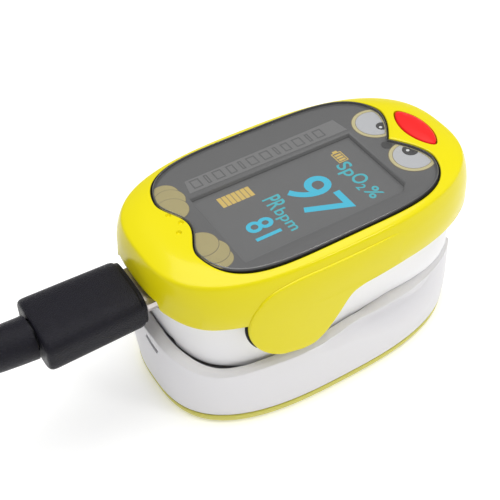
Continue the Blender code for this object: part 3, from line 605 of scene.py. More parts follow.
def wing_shadow_line(side, name, count=17):
    """A near-black strip round the wing's rear edge, thin at both ends: painted shadow of the gap under
    the wing.
    """
    rings = []
    turns = [math.tau * k / 10 for k in range(10)]
    for i in range(count):
        angle = math.radians(170 + 46 * i / (count - 1))
        ahead, up = math.cos(angle), math.sin(angle)
        x, z = WING_MIDDLE[0] + SHADOW_LINE_RADIUS * ahead, WING_MIDDLE[1] + SHADOW_LINE_RADIUS * up
        y = side * (wall_reach(x, z) - 0.45)
        size = 0.05 + 0.17 * math.sin(math.pi * (i + 0.5) / count) ** 0.5
        section = [(size * math.cos(turn), size * 1.6 * math.sin(turn)) for turn in turns]
        rings.append([(x + out * ahead, y + across, z + out * up) for out, across in section])
    put(f"wing_shadow_line_{name}", skin_mesh(rings), GAP_SHADOW, "upper_half", (), 50)


# ---- window and readout

SCREEN_LOW, SCREEN_HIGH = (-14.7, -10.1), (12.6, 5.0)
SCREEN_CORNER = 1.3
PLATE_TOP = 28.42
PLATE_LOW = 27.72
EDGE_SHADE_TOP = PLATE_TOP + 0.012
WELL_SHADE_TOP = PLATE_TOP - 0.28
SCREEN_Z = 27.5
# How far the readout's lit figures stand above the screen's glass
FILM = 0.02
# Pieces round the window: name, look, slot, sharp angle, then distance in and height of each corner
WINDOW_FRAMES = (
    # A near-black ring filling the gap round the lens: painted shadow of the gap
    ("window_gap_shadow", GAP_SHADOW, None, 35,
     ((-0.07, 27.7), (-0.07, 28.5), (-0.13, 28.72), (-0.27, 28.74), (-0.27, 27.7))),
    # A dark band on the plate just inside the lens edge: painted shade
    ("window_edge_shade", EDGE_SHADE, "smoked_window", 35,
     ((-0.05, PLATE_TOP - 0.1), (-0.05, EDGE_SHADE_TOP), (0.35, EDGE_SHADE_TOP), (0.35, PLATE_TOP - 0.1))),
    ("window_lens_edge", LENS_EDGE, "smoked_window", 60,
     ((-0.02, 28.86), (-0.02, 28.93), (0.06, 29.0), (0.14, 28.99), (0.14, 28.92))),
)


def clipped_disc(middle, radius, z, inset=0.12, count=96):
    """A thin disc that stops at the window's edge."""
    outline = []
    for i in range(count):
        angle = math.tau * i / count
        ahead, aside = math.cos(angle), math.sin(angle)
        reach = radius
        while reach > 0.02 and not in_window(middle[0] + reach * ahead, middle[1] + reach * aside, inset):
            reach -= 0.02
        outline.append((middle[0] + reach * ahead, middle[1] + reach * aside))
    return prism_mesh(outline, z - 0.03, z)


def screen_outline(grow):
    """The readout's opening, with one corner cut off at the front."""
    (x0, y0), (x1, y1) = SCREEN_LOW, SCREEN_HIGH
    cut = SCREEN_CORNER - grow * 0.4
    return [(x0 - grow, y0 - grow), (x1 - cut, y0 - grow), (x1 + grow, y0 + cut), (x1 + grow, y1 + grow),
            (x0 - grow, y1 + grow)]


def window_rings(section):
    return [at_height(window_outline(inset), z) for inset, z in section]


def screen_rings(section):
    return [at_height(screen_outline(grow), z) for grow, z in section]


def window():
    """The smoked lens, a near-black ring of painted shadow in the gap round it, a dark band of painted
    shade just inside its edge, the lens's edge, the printed plate, the well round the screen in painted
    shade, and the screen.
    """
    lens = skin_mesh(window_rings(((0.16, 28.55), (0.16, 28.97), (0.26, 28.99), (0.40, 29.0))))
    put("window_lens", lens, LENS, "upper_half", ["display_window"], 50)
    for name, look, slot, sharp, section in WINDOW_FRAMES:
        put(name, skin_mesh(window_rings(section), loop=True), look, "upper_half", (), sharp)
    plate = skin_mesh(window_rings(((0.06, PLATE_LOW), (0.06, PLATE_TOP))))
    opening = skin_mesh(screen_rings((
        (0.0, 27.4), (0.0, PLATE_TOP - 0.3), (0.1, PLATE_TOP - 0.1), (0.3, PLATE_TOP), (0.3, 29))))
    put("window_print", carve(plate, opening), PRINT, "upper_half", (), 60)
    # The recess walls round the screen, near-black as painted shade
    walls = screen_rings(((0.02, 27.44), (0.02, WELL_SHADE_TOP), (0.5, WELL_SHADE_TOP), (0.5, 27.44)))
    put("window_well_shade", skin_mesh(walls, loop=True), WELL_SHADE, "upper_half")
    panel = prism_mesh(rectangle((-14.9, -10.3), (12.8, 9.2)), 26.2, SCREEN_Z)
    put("screen", panel, SCREEN, "upper_half", ["display_panel"])


STRIP_OUTLINE = ((-14.3, 5.8), (12.9, 5.7), (12.4, 8.9), (-13.7, 8.5))
MARK_WIDTHS = (1.5, 0.6, 1.5, 1.2, 0.6, 1.5, 1.5, 0.6, 1.2, 1.5, 0.6, 1.5)
MARK_ROW, MARK_GAP, MARK_LINE = (6.3, 8.2), 0.8, 0.2


def raised_strip():
    """A plain raised strip beside the readout, with a row of plain frames in place of lettering."""
    strip = prism_mesh(STRIP_OUTLINE, PLATE_TOP - 0.1, PLATE_TOP + 0.05, 0.05)
    put("window_strip", strip, STRIP, "upper_half")
    top = PLATE_TOP + 0.075
    marks = []
    x = -13.2
    for width in MARK_WIDTHS:
        rings = []
        for inset, z in ((0.0, PLATE_TOP), (0.0, top), (MARK_LINE, top), (MARK_LINE, PLATE_TOP)):
            low, high = (x + inset, MARK_ROW[0] + inset), (x + width - inset, MARK_ROW[1] - inset)
            rings.append(at_height(rectangle(low, high), z))
        marks.append(skin_mesh(rings, loop=True))
        x += width + MARK_GAP
    put("window_strip_marks", joined(marks), PRINT, "upper_half")


def lettering(name, text, x_span, y_span, z, look, bold):
    """Figures on the readout: their tops point to +X, and they read towards -Y."""
    curve = bpy.data.curves.new(name, "FONT")
    curve.body = text
    curve.extrude = FILM
    curve.offset = bold
    curve.resolution_u = 6
    source = bpy.data.objects.new(name, curve)
    bpy.context.scene.collection.objects.link(source)
    bpy.context.view_layer.update()
    graph = bpy.context.evaluated_depsgraph_get()
    mesh = bpy.data.meshes.new_from_object(source.evaluated_get(graph))
    bpy.data.objects.remove(source, do_unlink=True)
    across = [v.co.x for v in mesh.vertices]
    upward = [v.co.y for v in mesh.vertices]
    for vertex in mesh.vertices:
        u = (vertex.co.x - min(across)) / (max(across) - min(across))
        v = (vertex.co.y - min(upward)) / (max(upward) - min(upward))
        height = z + (FILM if vertex.co.z > 0 else 0.0)
        vertex.co = Vector((x_span[0] + (x_span[1] - x_span[0]) * v,
                            y_span[0] + (y_span[1] - y_span[0]) * u, height)) * MM
    made = bmesh.new()
    made.from_mesh(mesh)
    bmesh.ops.remove_doubles(made, verts=made.verts, dist=1e-6)
    bmesh.ops.recalc_face_normals(made, faces=made.faces)
    made.to_mesh(mesh)
    made.free()
    put(name, mesh, look, "upper_half", (), 30)


# Name, text, span along X and along Y, look, and how much bolder than the font
FIGURES = (
    ("figure_large", "97", (-2.35, 4.55), (0.35, -8.35), CYAN, 0.010),
    ("figure_small", "81", (-10.95, -6.85), (-3.1, -6.9), CYAN, 0.012),
    ("unit_large", "Sp", (6.3, 9.35), (0.5, -2.55), TEAL, 0.014),
    ("unit_large_o", "O", (7.2, 9.65), (-2.75, -4.8), TEAL, 0.014),
    ("unit_large_2", "2", (6.75, 8.2), (-4.95, -5.85), TEAL, 0.013),
    ("unit_large_percent", "%", (7.2, 9.5), (-6.2, -8.4), TEAL, 0.013),
    ("unit_small", "PR", (-6.05, -3.3), (-0.1, -2.65), TEAL, 0.013),
    ("unit_small_rest", "bpm", (-6.5, -4.05), (-2.95, -7.7), TEAL, 0.010),
)
BAR_COUNT, BAR_START, BAR_STEP, BAR_LENGTH = 7, -11.3, 0.757, 0.65
# The battery sign: its four sides, its cap, and three blocks of charge
BATTERY_SPANS = (
    ((7.95, 0.7), (8.1, 3.0)), ((9.5, 0.7), (9.65, 3.0)), ((7.95, 2.85), (9.65, 3.0)),
    ((7.95, 0.7), (9.65, 0.85)), ((8.4, 3.02), (9.2, 3.4)), ((8.25, 1.02), (9.35, 1.42)),
    ((8.25, 1.6), (9.35, 2.0)), ((8.25, 2.18), (9.35, 2.58)),
)


def readout():
    z = SCREEN_Z + 0.01
    for name, text, x_span, y_span, look, bold in FIGURES:
        lettering(name, text, x_span, y_span, z, look, bold)
    starts = [BAR_START + i * BAR_STEP for i in range(BAR_COUNT)]
    bars = [((x, 1.5), (x + BAR_LENGTH, 3.65)) for x in starts]
    for name, spans in (("pulse_bar", bars), ("battery_sign", BATTERY_SPANS)):
        blocks = [prism_mesh(rectangle(*span), z, z + FILM) for span in spans]
        put(name, joined(blocks), AMBER_GLOW, "upper_half", ())


FACE_LOOKS = {
    "eye_edges": EDGE_LINE, "eye_rims": CREAM, "eye_whites": EYE, "eye_pupils": PUPIL, "eye_rings": IRIS,
    "eye_sparks": SPARK, "foot_lines": TAN_LINE, "foot_toes": TAN,
}
EYE_X, EYE_Y = 17.25, 4.7
PUPIL_X, PUPIL_Y = 17.75, 3.5
PUPIL_RADII = ((1, 0.92), (-1, 1.22))
TOES = ((-17.3, 7.6, 1.95), (-17.3, 6.1, 2.2), (-17.95, 4.1, 2.3))


def printed_face():
    """Two plain round eyes and two plain three-toed feet, printed under the lens in thin layers."""
    discs = {name: [] for name in FACE_LOOKS}

    def disc(name, middle, radius, rise, inset=0.12, count=96):
        discs[name].append(clipped_disc(middle, radius, PLATE_TOP + rise, inset, count))

    for side, radius in PUPIL_RADII:
        middle, pupil = (EYE_X, side * EYE_Y), (PUPIL_X, side * PUPIL_Y)
        disc("eye_edges", middle, 3.6, 0.03)
        disc("eye_rims", middle, 3.48, 0.042)
        disc("eye_edges", middle, 2.98, 0.05, 0.3)
        disc("eye_whites", middle, 2.9, 0.06, 0.35)
        disc("eye_pupils", pupil, radius, 0.072, 0.25, 48)
        disc("eye_rings", pupil, radius * 0.72, 0.08, 0.3, 48)
        disc("eye_pupils", pupil, radius * 0.62, 0.088, 0.3, 48)
        disc("eye_sparks", (PUPIL_X - 0.35, side * 3.35), 0.26, 0.096, 0.3, 24)
    disc("eye_sparks", (18.35, -2.75), 0.24, 0.096, 0.2, 24)
    disc("eye_pupils", (15.6, -0.6), 0.85, 0.065, 0.2, 48)
    for i, (x, y, radius) in enumerate(TOES):
        for side in (1, -1):
            disc("foot_lines", (x, side * y), radius + 0.09, 0.02 + 0.03 * i)
            disc("foot_toes", (x, side * y), radius, 0.035 + 0.03 * i, 0.14)
    for name, look in FACE_LOOKS.items():
        put(name, joined(discs[name]), look, "upper_half", ())


# Distance in from the button's edge, and height
BUTTON_PROFILE = (
    (0.0, 27.4), (0.0, 28.9), (0.05, 29.03), (0.18, 29.12), (0.45, 29.2), (0.8, 29.29), (1.15, 29.36),
    (1.5, 29.39), (1.75, 29.4),
)


def power_button():
    length, width = BUTTON_HALF
    rings = [at_height(almond(length - inset * 1.6, width - inset, BUTTON_X), z)
             for inset, z in BUTTON_PROFILE]
    put("button", skin_mesh(rings), RED, "power_button", ["power_button"], 60)


# ---- white shells

# Along X: the height of the upper shell's lower edge
UPPER_EDGE = smooth([
    (-30, 14.0), (-24.1, 13.75), (-23.9, 13.1), (-23.4, 12.5), (-22.6, 11.8), (-21.7, 11.2),
    (-20.7, 10.7), (-19.6, 10.45), (-18.4, 10.2), (-17, 9.9), (-14, 9.6), (-8, 9.5), (-5, 9.8),
    (-3, 10.4), (-0.4, 11.15), (2.3, 11.95), (6, 12.4), (8, 12.6), (12, 12.75), (30, 12.9),
], 4)
# By height: how far the upper shell has widened from its low size to its top size
UPPER_SHARES = ((9.0, 0.0), (13.0, 0.25), (17.0, 0.62), (COVER_LOW, 1.0), (22.2, 1.02))
SHELL_COUNT = 288
# How far in from the wall a ring lies that a flat cap closes, and how thick each shell's wall is
CAP_INSET = 8.0
UPPER_WALL, LOWER_WALL = 1.2, 1.6
# Heights of the upper shell's inner floor and of its wall's top, and of the lower shell's deck
FLOOR_LOW, FLOOR_TOP, UPPER_TOP = 18.45, 19.6, 22.0
DECK_LOW, DECK_TOP = 6.7, 7.6
SPRING_Y = 5.7
# By degrees round the lower shell from its rear end: the height of its rim
RIM_BY_ANGLE = smooth([
    (0, 15.0), (6, 14.95), (8.5, 14.6), (11.6, 14.05), (14.8, 13.5), (18.3, 12.85), (21.3, 12.15),
    (24.4, 11.6), (27.2, 11.2), (30.3, 11.0), (36, 11.05), (43, 11.3), (50, 11.4), (59, 11.35),
    (71, 11.5), (76, 11.85), (86, 12.15), (96, 12.15), (106, 12.0), (120, 11.9), (180, 11.9),
], 3)
# The finger scoop under the rim on each side, along X: its depth, and how far down it reaches
SCOOP_DEPTH = smooth([
    (-9, 0.0), (-6, 0.12), (-3, 0.55), (2, 1.1), (6, 1.6), (12, 1.8), (16, 1.6), (19, 1.0), (22, 0.0),
    (30, 0.0),
], 4)
SCOOP_DROP = smooth([
    (-9, 1.0), (-6, 1.8), (-3, 3.2), (1.4, 4.6), (5.2, 5.7), (9.3, 6.8), (14, 7.2), (24, 7.0), (30, 7.0),
], 4)
# Shares of the way down the scoop
SCOOP_START, SCOOP_DEEPEST = 0.04, 0.24
# A height near the rim, at which the ledge is worked out, and the gap left beside the upper shell
RIM_Z, SWING_GAP = 11, 0.18
LANYARD_SLOT = (-25.6, 2.5, 12.1)
# Distance in from the base's outline, and height
BASE_PROFILE = (
    (CAP_INSET, 0.0), (1.1, 0.0), (0.72, 0.06), (0.42, 0.2), (0.2, 0.42), (0.06, 0.7), (0.0, 1.0),
    (0.0, 1.42), (0.06, 1.5), (CAP_INSET, 1.5),
)
# By degrees round from the rear end: where a change towards the front starts, and how long it takes
FLARE_START, FLARE_SPAN = 114, 34
FRONT_START, FRONT_SPAN = 92, 24
LEVEL_START, LEVEL_SPAN = 78, 20


def mouth_rise(x, y):
    """Half the height of the finger's way in, at a place across the front wall."""
    if x < 15 or abs(y) >= MOUTH_HALF[0]:
        return 0.0
    return MOUTH_HALF[1] * math.sqrt(1 - (y / MOUTH_HALF[0]) ** 2)


def upper_edge(x, y):
    """The height of the upper shell's lower edge, arched over the finger's way in."""
    rise = mouth_rise(x, y)
    return max(along(UPPER_EDGE, x), TUNNEL_Z + rise if rise else 0.0)


def front_flare(turn):
    """How far the upper shell's lower edge flares out towards the front, by degrees from the rear."""
    return ease((turn - FLARE_START) / FLARE_SPAN)


def upper_half_size(z):
    """Half the upper shell's length and width at a height."""
    share = along(UPPER_SHARES, z)
    return [low + (high - low) * share for low, high in zip(UPPER_LOW_HALF, UPPER_TOP_HALF)]


def lower_half_size(z, ahead):
    """Half the lower shell's length and width at a height. Its front wall is the more upright one."""
    share = ease(z / 11.0) ** 0.8
    length_share = ease(z / 6.0) ** 0.6 if ahead else share
    return [low + (high - low) * part
            for low, high, part in zip(BASE_HALF, RIM_HALF, (length_share, share))]


def wall_point(i, half, inset, middle=(0, 0), powers=(REAR_POWER, FRONT_POWER)):
    """A place in from a shell's wall, at one of its even angles."""
    angle = math.tau * i / SHELL_COUNT
    reach = oval_reach(angle, half[0] - inset, half[1] - inset, *powers)
    return middle[0] + reach * math.cos(angle), middle[1] + reach * math.sin(angle)


def upper_point(i, z, inset):
    return wall_point(i, upper_half_size(z), inset)


def lower_point(i, z, inset):
    ahead = math.cos(math.tau * i / SHELL_COUNT) > 0
    return wall_point(i, lower_half_size(z, ahead), inset, LOWER_MIDDLE, LOWER_POWERS)


def upper_shell():
    """The white upper half: a wall with a shaped lower edge, and room for the ribbon, the springs and
    the charging socket."""
    edges = [upper_edge(*upper_point(i, 13, 0)) for i in range(SHELL_COUNT)]
    flares = [front_flare(abs(180 - 360 * i / SHELL_COUNT)) for i in range(SHELL_COUNT)]

    def ring(inset, height_of):
        """A ring at heights that are worked out from the lower edge's."""
        places = []
        for i, (edge, flare) in enumerate(zip(edges, flares)):
            z = height_of(edge)
            out = flare * (1 - ease((z - 13.0) / 6.5))
            places.append((*upper_point(i, z, inset - out), z))
        return places

    def level(inset, z):
        return ring(inset, lambda edge: z)

    def wall(share):
        return ring(0.0, lambda edge: edge + 0.3 + (UPPER_TOP - 0.3 - edge) * share)

    def edge_ring(inset, rise):
        return ring(inset, lambda edge: edge + rise)

    def inside(inset, share):
        return ring(inset, lambda edge: edge + 0.25 + max(FLOOR_LOW - edge, 0.05) * share)

    rings = [level(*pair) for pair in (
        (CAP_INSET, FLOOR_TOP), (UPPER_WALL, FLOOR_TOP), (UPPER_WALL, UPPER_TOP), (0.0, UPPER_TOP))]
    rings += [wall(share) for share in (0.85, 0.7, 0.55, 0.4, 0.25, 0.12, 0.0)]
    rings += [edge_ring(*pair) for pair in (
        (0.03, 0.12), (0.1, 0.03), (0.22, 0.0), (1.0, 0.0), (1.14, 0.06), (UPPER_WALL, 0.25))]
    rings += [inside(*pair) for pair in ((UPPER_WALL, 0.5), (UPPER_WALL, 1.0), (CAP_INSET, 1.0))]
    mesh = skin_mesh(rings)
    rooms = [((-19.5, -3.0, 17.6), (-14.8, 3.0, 20.4))]
    for y in (-SPRING_Y, SPRING_Y):
        rooms.append(((-18.0, y - 2.8, 17.6), (-7.0, y + 2.8, 20.4)))
    rooms.append(((-30, -5.0, PORT_Z - 2.0), (-16.3, 5.0, 26)))
    for low, high in rooms:
        mesh = carve(mesh, box_mesh(low, high))
    put("shell_upper", mesh, WHITE, "upper_half", ["upper_shell"], 40)


def scoop(x, z, rim):
    """How far the lower shell's wall is hollowed inwards: quickly under the rim, then slowly back out."""
    down = (rim - z) / along(SCOOP_DROP, x)
    if down < SCOOP_START or down > 1:
        return 0.0
    depth = along(SCOOP_DEPTH, x)
    if down < SCOOP_DEEPEST:
        return depth * ease((down - SCOOP_START) / (SCOOP_DEEPEST - SCOOP_START))
    return depth * (1 - ease((down - SCOOP_DEEPEST) / (1 - SCOOP_DEEPEST)))


def to_upper_shell(i):
    """How far in from the lower shell's wall its ledge can reach, so that the upper one clears it.
    Behind the hinge the upper shell swings down inside, so a higher and wider part of it counts."""
    inset = 0.9
    behind = max(0.0, -10.5 - lower_point(i, RIM_Z, 0)[0])
    half_length, half_width = upper_half_size(13 + 0.3 * behind)
    while inset < 2.4:
        x, y = lower_point(i, RIM_Z, inset)
        power = FRONT_POWER if x > 0 else REAR_POWER
        if (abs(x) / half_length) ** power + (abs(y) / half_width) ** power < 1:
            break
        inset += 0.02
    return inset - SWING_GAP


def ledge_side(i):
    """The rim's height, the ledge's inner height and its width, at one of the shell's even angles."""
    x, y = lower_point(i, RIM_Z, 0)
    turn = math.degrees(math.pi - abs(math.atan2(y - LOWER_MIDDLE[1], x - LOWER_MIDDLE[0])))
    rise = mouth_rise(x, y)
    rim = along(RIM_BY_ANGLE, turn)
    if rise:
        rim = min(rim, TUNNEL_Z - rise)
    mouth = ease(rise / 2.5)
    front = ease((turn - FRONT_START) / FRONT_SPAN) * (1 - mouth)
    sloped = 1 - ease((turn - LEVEL_START) / LEVEL_SPAN)
    inner = rim - 0.05 - 0.35 * sloped + front * (along(UPPER_EDGE, x) - 0.22 - rim)
    width = to_upper_shell(i) + 0.7 * front - 0.9 * front_flare(turn)
    return rim - 0.85 * sloped, inner, width * (1 - mouth) + mouth


def lower_shell():
    """The white lower half: a scooped wall, a rounded ledge that rises inwards behind, and a deck."""
    sides = [ledge_side(i) for i in range(SHELL_COUNT)]

    def ring(place_of, scooped=False):
        """A ring from a function of the rim's height, the ledge's inner height and its width."""
        places = []
        for i, side in enumerate(sides):
            inset, z = place_of(*side)
            if scooped and side[0] > 10.5:
                inset += scoop(lower_point(i, z, inset)[0], z, side[0])
            places.append((*lower_point(i, z, inset), z))
        return places

    def level(inset, z):
        return ring(lambda rim, inner, width: (inset, z))

    def wall(share):
        low = SHELL_LOW + 0.25
        return ring(lambda rim, inner, width: (0.0, low + (rim - 0.25 - low) * share), True)

    def edge(inset, drop):
        return ring(lambda rim, inner, width: (inset, rim - drop))

    def ledge(share):
        rise = math.sin(share * math.pi / 2) ** 1.2
        return ring(lambda rim, inner, width: (width * share, rim + (inner - rim) * rise))

    rings = [level(*pair) for pair in (
        (CAP_INSET, DECK_LOW), (LOWER_WALL, DECK_LOW), (LOWER_WALL, SHELL_LOW), (0.22, SHELL_LOW),
        (0.06, SHELL_LOW + 0.06))]
    rings += [wall(i / 36) for i in range(37)]
    rings += [edge(*pair) for pair in ((0.03, 0.13), (0.09, 0.05), (0.18, 0.01))]
    rings += [ledge(share) for share in (0.3, 0.45, 0.6, 0.75, 0.9, 1.0)]
    rings.append(ring(lambda rim, inner, width: (width + 0.05, inner - 0.2)))
    rings.append(ring(lambda rim, inner, width: (width + 0.07, DECK_TOP + (inner - DECK_TOP) * 0.5)))
    rings.append(ring(lambda rim, inner, width: (width + 0.1, DECK_TOP)))
    rings.append(level(CAP_INSET, DECK_TOP))
    mesh = skin_mesh(rings)
    x, y, z = LANYARD_SLOT
    for side in (-1, 1):
        place = Matrix.Translation(Vector((x, side * y, z)) * MM)
        slot = box_mesh((-1.5, -1.55, -0.48), (2.5, 1.55, 0.48))
        slot.transform(place @ Matrix.Rotation(-side * math.radians(24), 4, "X"))
        mesh = carve(mesh, slot)
    # The lower shell takes the darker white: painted shade
    put("shell_lower", mesh, SHADED_WHITE, "lower_half", ["lower_shell"], 40)


def base_cover():
    """The bottom plate with its rounded lower edge, and four holes sunk for the screws' heads."""
    rings = []
    for inset, z in BASE_PROFILE:
        outline = rounded(BASE_HALF[0] - inset, BASE_HALF[1] - inset, middle=LOWER_MIDDLE)
        rings.append(at_height(outline, z))
    mesh = skin_mesh(rings)
    for x, y in SCREW_PLACES:
        mesh = carve(mesh, rod_mesh((x, y, -1), (x, y, 3), 0.95))
        mesh = carve(mesh, rod_mesh((x, y, -0.2), (x, y, 0.85), 1.75, 32))
    # The base cover takes the darker, greyer yellow: painted shade
    put("base_cover", mesh, SHADED_YELLOW, "lower_half", ["bottom_cover"], 40)


# ---- finger pads

PAD_REAR = -5.5
TUNNEL_HALF = (7.6, 3.7)
TUNNEL_SHARES = ((PAD_REAR + 1.6, 0.72), (PAD_REAR + 2.8, 0.9), (PAD_REAR + 5.5, 1.0), (18.0, 1.0),
                 (32.0, 1.22))


def pad(name, half, height_of, body, node, light_window):
    """A soft block with rounded edges, hollowed for the finger and open over the lamp or the sensor.
    height_of gives its low and high at a place along X."""
    outline = []
    for x, y in rounded(*half, count=144):
        if x < PAD_REAR + 1 and abs(y) > 0.6 * half[1]:
            y = math.copysign(half[1], y)
        outline.append((max(x, PAD_REAR), y))
    middle_x = (half[0] + PAD_REAR) / 2

    def ring(inset, end, step):
        places = []
        for x, y in outline:
            share = 1 - inset / max(math.hypot(x - middle_x, y), 1.0)
            px, py = middle_x + (x - middle_x) * share, y * share
            low, high = height_of(px)
            places.append((px, py, low + step if end == "low" else high - step))
        return places

    corner = ((6.0, 0.0), (0.35, 0.0), (0.1, 0.1), (0.0, 0.35))
    rings = [ring(inset, "low", step) for inset, step in corner]
    rings += [ring(inset, "high", step) for inset, step in reversed(corner)]
    tunnel = along_x(TUNNEL_SHARES, TUNNEL_HALF, 2, 64, (0, TUNNEL_Z))
    mesh = carve(skin_mesh(rings), skin_mesh(tunnel))
    mesh = carve(mesh, box_mesh(*light_window))
    put(name, mesh, SILICONE, body, [node], 50)


def lower_pad_heights(x):
    """The lower pad's top follows the upper shell's lower edge."""
    return 9.0, min(13.2, max(12.2, along(UPPER_EDGE, x)) - 0.1)


def upper_pad_heights(x):
    return 14.2, 17.0


def finger_pads():
    pad("pad_lower", (23.9, 11.5), lower_pad_heights, "lower_half", "lower_finger_pad",
        ((5.0, -2.1, 8), (10.0, 2.1, 12)))
    pad("pad_upper", (22.2, 11.2), upper_pad_heights, "upper_half", "upper_finger_pad",
        ((5.0, -2.2, 13), (10.0, 2.2, 18)))


# ---- charging plug

PLUG_HALF = (5.5, 3.1)
# X and the share of the plug's full size, from the socket backwards: a collar, then the grip
PLUG_SECTIONS = (
    (-27.0, 0.83), (-27.04, 0.87), (-27.14, 0.885), (-27.5, 0.89), (-27.54, 0.90), (-27.62, 0.925),
    (-27.85, 0.945), (-28.3, 0.958), (-34.0, 0.98), (-40.5, 1.0), (-41.0, 0.988), (-41.3, 0.955),
    (-41.46, 0.90), (-41.5, 0.83),
)
# X, radius, and how far the middle lies above the socket's
BOOT_SECTIONS = (
    (-48.5, 2.5, 0.5), (-48.42, 2.7, 0.5), (-48.1, 2.9, 0.5), (-46.5, 3.0, 0.35), (-44.5, 3.05, 0.15),
    (-42.6, 3.12, 0.02), (-41.8, 3.2, 0.0),
)
BOOT_HIGHEST = 3.05
BORE_Z, BORE_RADIUS = 21.25, 2.4


def charging_plug():
    """The moulded grip and the strain relief behind it, both hollow for the cord."""
    body = along_x(PLUG_SECTIONS, PLUG_HALF, 3.6, 96, (0, PORT_Z))
    boot = [at_x(rounded(radius, min(radius, BOOT_HIGHEST), 2, 2, 64, (0, PORT_Z + rise)), x)
            for x, radius, rise in BOOT_SECTIONS]
    for name, rings, span, node in (("plug_body", body, (-43, -31), "plug_overmold"),
                                    ("plug_boot", boot, (-50, -40), "plug_strain_relief")):
        bore = rod_mesh((span[0], 0, BORE_Z), (span[1], 0, BORE_Z), BORE_RADIUS, 32)
        put(name, carve(skin_mesh(rings), bore), BLACK, "charging_plug", [node], 40)


# ---- lead, coil, tie and far plug

CORD_DIAMETER = 4.0
CORD_ROUTE = (
    (-40, 0, 21.2), (-44, 0, 21.3), (-48, 0, 21.5), (-52, 0, 21.4), (-56, -0.1, 21.25),
    (-60, -0.9, 20.0), (-64, -2.6, 17.2), (-68, -5.1, 13.3), (-72, -8.0, 9.3), (-76, -10.2, 6.3),
    (-79, -11.6, 4.7), (-81.8, -12.6, 3.8), (-87, -13.7, 3.1), (-93, -14.0, 3.0),
)
COIL_MIDDLE = (-100.0, 11.5)
COIL_INNER, COIL_OUTER = 15.0, 25.6
COIL_LAYERS = (3.0, 7.05)
LAYER_TURNS = 2.6
TAIL_TURN = 13.0
FAR_PLUG = (-111.0, 24.5, 13.5)


def coil_points(per_turn=24):
    """Two flat spirals, inwards along the table and outwards on top of it, seen clockwise from above."""
    points = []
    angle = math.radians(-90)
    steps = round(LAYER_TURNS * per_turn)
    for layer, z in enumerate(COIL_LAYERS):
        first, last = (COIL_OUTER, COIL_INNER) if layer == 0 else (COIL_INNER, COIL_OUTER)
        for i in range(steps + 1):
            radius = first + (last - first) * i / steps
            height = z
            if layer == 1:
                height = COIL_LAYERS[0] + (z - COIL_LAYERS[0]) * ease(i / (per_turn * 0.22))
            points.append((COIL_MIDDLE[0] + radius * math.cos(angle),
                           COIL_MIDDLE[1] + radius * math.sin(angle), height))
            angle -= math.tau / per_turn
    return points


def tail_points():
    """Off the top of the coil, through a little over a quarter turn, into the far strain relief."""
    x, y = COIL_MIDDLE[0] - COIL_OUTER + TAIL_TURN, COIL_MIDDLE[1]
    points = []
    begin, end = math.radians(190), math.radians(90)
    for i in range(9):
        turn = begin + (end - begin) * i / 8
        rise = COIL_LAYERS[1] + (FAR_PLUG[2] - COIL_LAYERS[1]) * ease((i + 2) / 9)
        points.append((x + TAIL_TURN * math.cos(turn), y + TAIL_TURN * math.sin(turn), rise))
    points.append((FAR_PLUG[0] + 3.0, FAR_PLUG[1], FAR_PLUG[2]))
    return points


def tube_mesh(line, radius, sides=20):
    """A round tube with closed ends along the line, with no twist."""
    line = [Vector(p) for p in line]
    side = Vector((0, 1, 0))
    angles = [math.tau * k / sides for k in range(sides)]
    rings = []
    for i, point in enumerate(line):
        heading = (line[min(i + 1, len(line) - 1)] - line[max(i - 1, 0)]).normalized()
        side = (side - heading * side.dot(heading)).normalized()
        other = heading.cross(side)
        rings.append([point + (side * math.cos(a) + other * math.sin(a)) * radius for a in angles])
    return skin_mesh(rings)


def lead():
    """The cord from inside the charging plug, through the coil, to the far plug."""
    line = smooth([*CORD_ROUTE, *coil_points()[1:], *tail_points()], 3)
    cord = put("lead", tube_mesh(line, CORD_DIAMETER / 2), SHEATH, None, (), 50)
    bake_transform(cord)
    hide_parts("charging_cord", "cord_coil", "cord_tail")


# How far the strap's two faces stand off the bundle, and how far along it they lie
TIE_SECTION = ((0.0, 3.5), (0.35, 3.5), (0.42, 3.4), (0.42, -3.4), (0.35, -3.5), (0.0, -3.5))


def lead_tie():
    """A woven strap round the bundle of turns, with rounded corners."""
    x, y = COIL_MIDDLE
    inner, outer = x + COIL_INNER - 2.1, x + COIL_OUTER + 2.25
    low, high = 0.45, COIL_LAYERS[1] + 2.3
    middle = ((inner + outer) / 2, (low + high) / 2)
    half = ((outer - inner) / 2, (high - low) / 2)
    rings = []
    for grow, edge in TIE_SECTION:
        section = rounded(half[0] + grow, half[1] + grow, 7, 7, 72, middle)
        rings.append([(a, y + edge, b) for a, b in section])
    put("lead_tie", skin_mesh(rings, loop=True), STRAP, "lower_half", ["cord_tie"], 50)


FAR_BOOT_LENGTH, FAR_BODY_LENGTH = 7.0, 20
FAR_BODY_HALF, FAR_SHELL_HALF = (7.8, 3.9), (6.0, 2.25)
# The far plug's body and metal shell: steps along X, and shares of their full size
FAR_BODY_SECTIONS = (
    (0, 0.82), (0.05, 0.87), (0.25, 0.93), (0.8, 0.99), (1.6, 1.0), (10, 0.985), (18.6, 1.0),
    (19.5, 0.985), (19.9, 0.95), (20, 0.90),
)
FAR_SHELL_SECTIONS = ((0, 1), (17.9, 1), (18, 0.985))


def far_boot(x0, y, z):
    """The far plug's strain relief, which widens towards the body and has ribs round it."""
    rings = []
    for i in range(29):
        share = i / 28
        rib = 0.16 if 2 < i < 26 and i % 4 in (1, 2) else 0.0
        width, height = 2.6 + 0.8 * share - rib, 2.6 + 0.6 * share - rib
        rings.append(at_x(rounded(width, height, 2, 2, 48, (y, z)), x0 + FAR_BOOT_LENGTH * share))
    put("far_boot", skin_mesh(rings), BLACK, "lower_half", ["far_strain_relief"], 50)


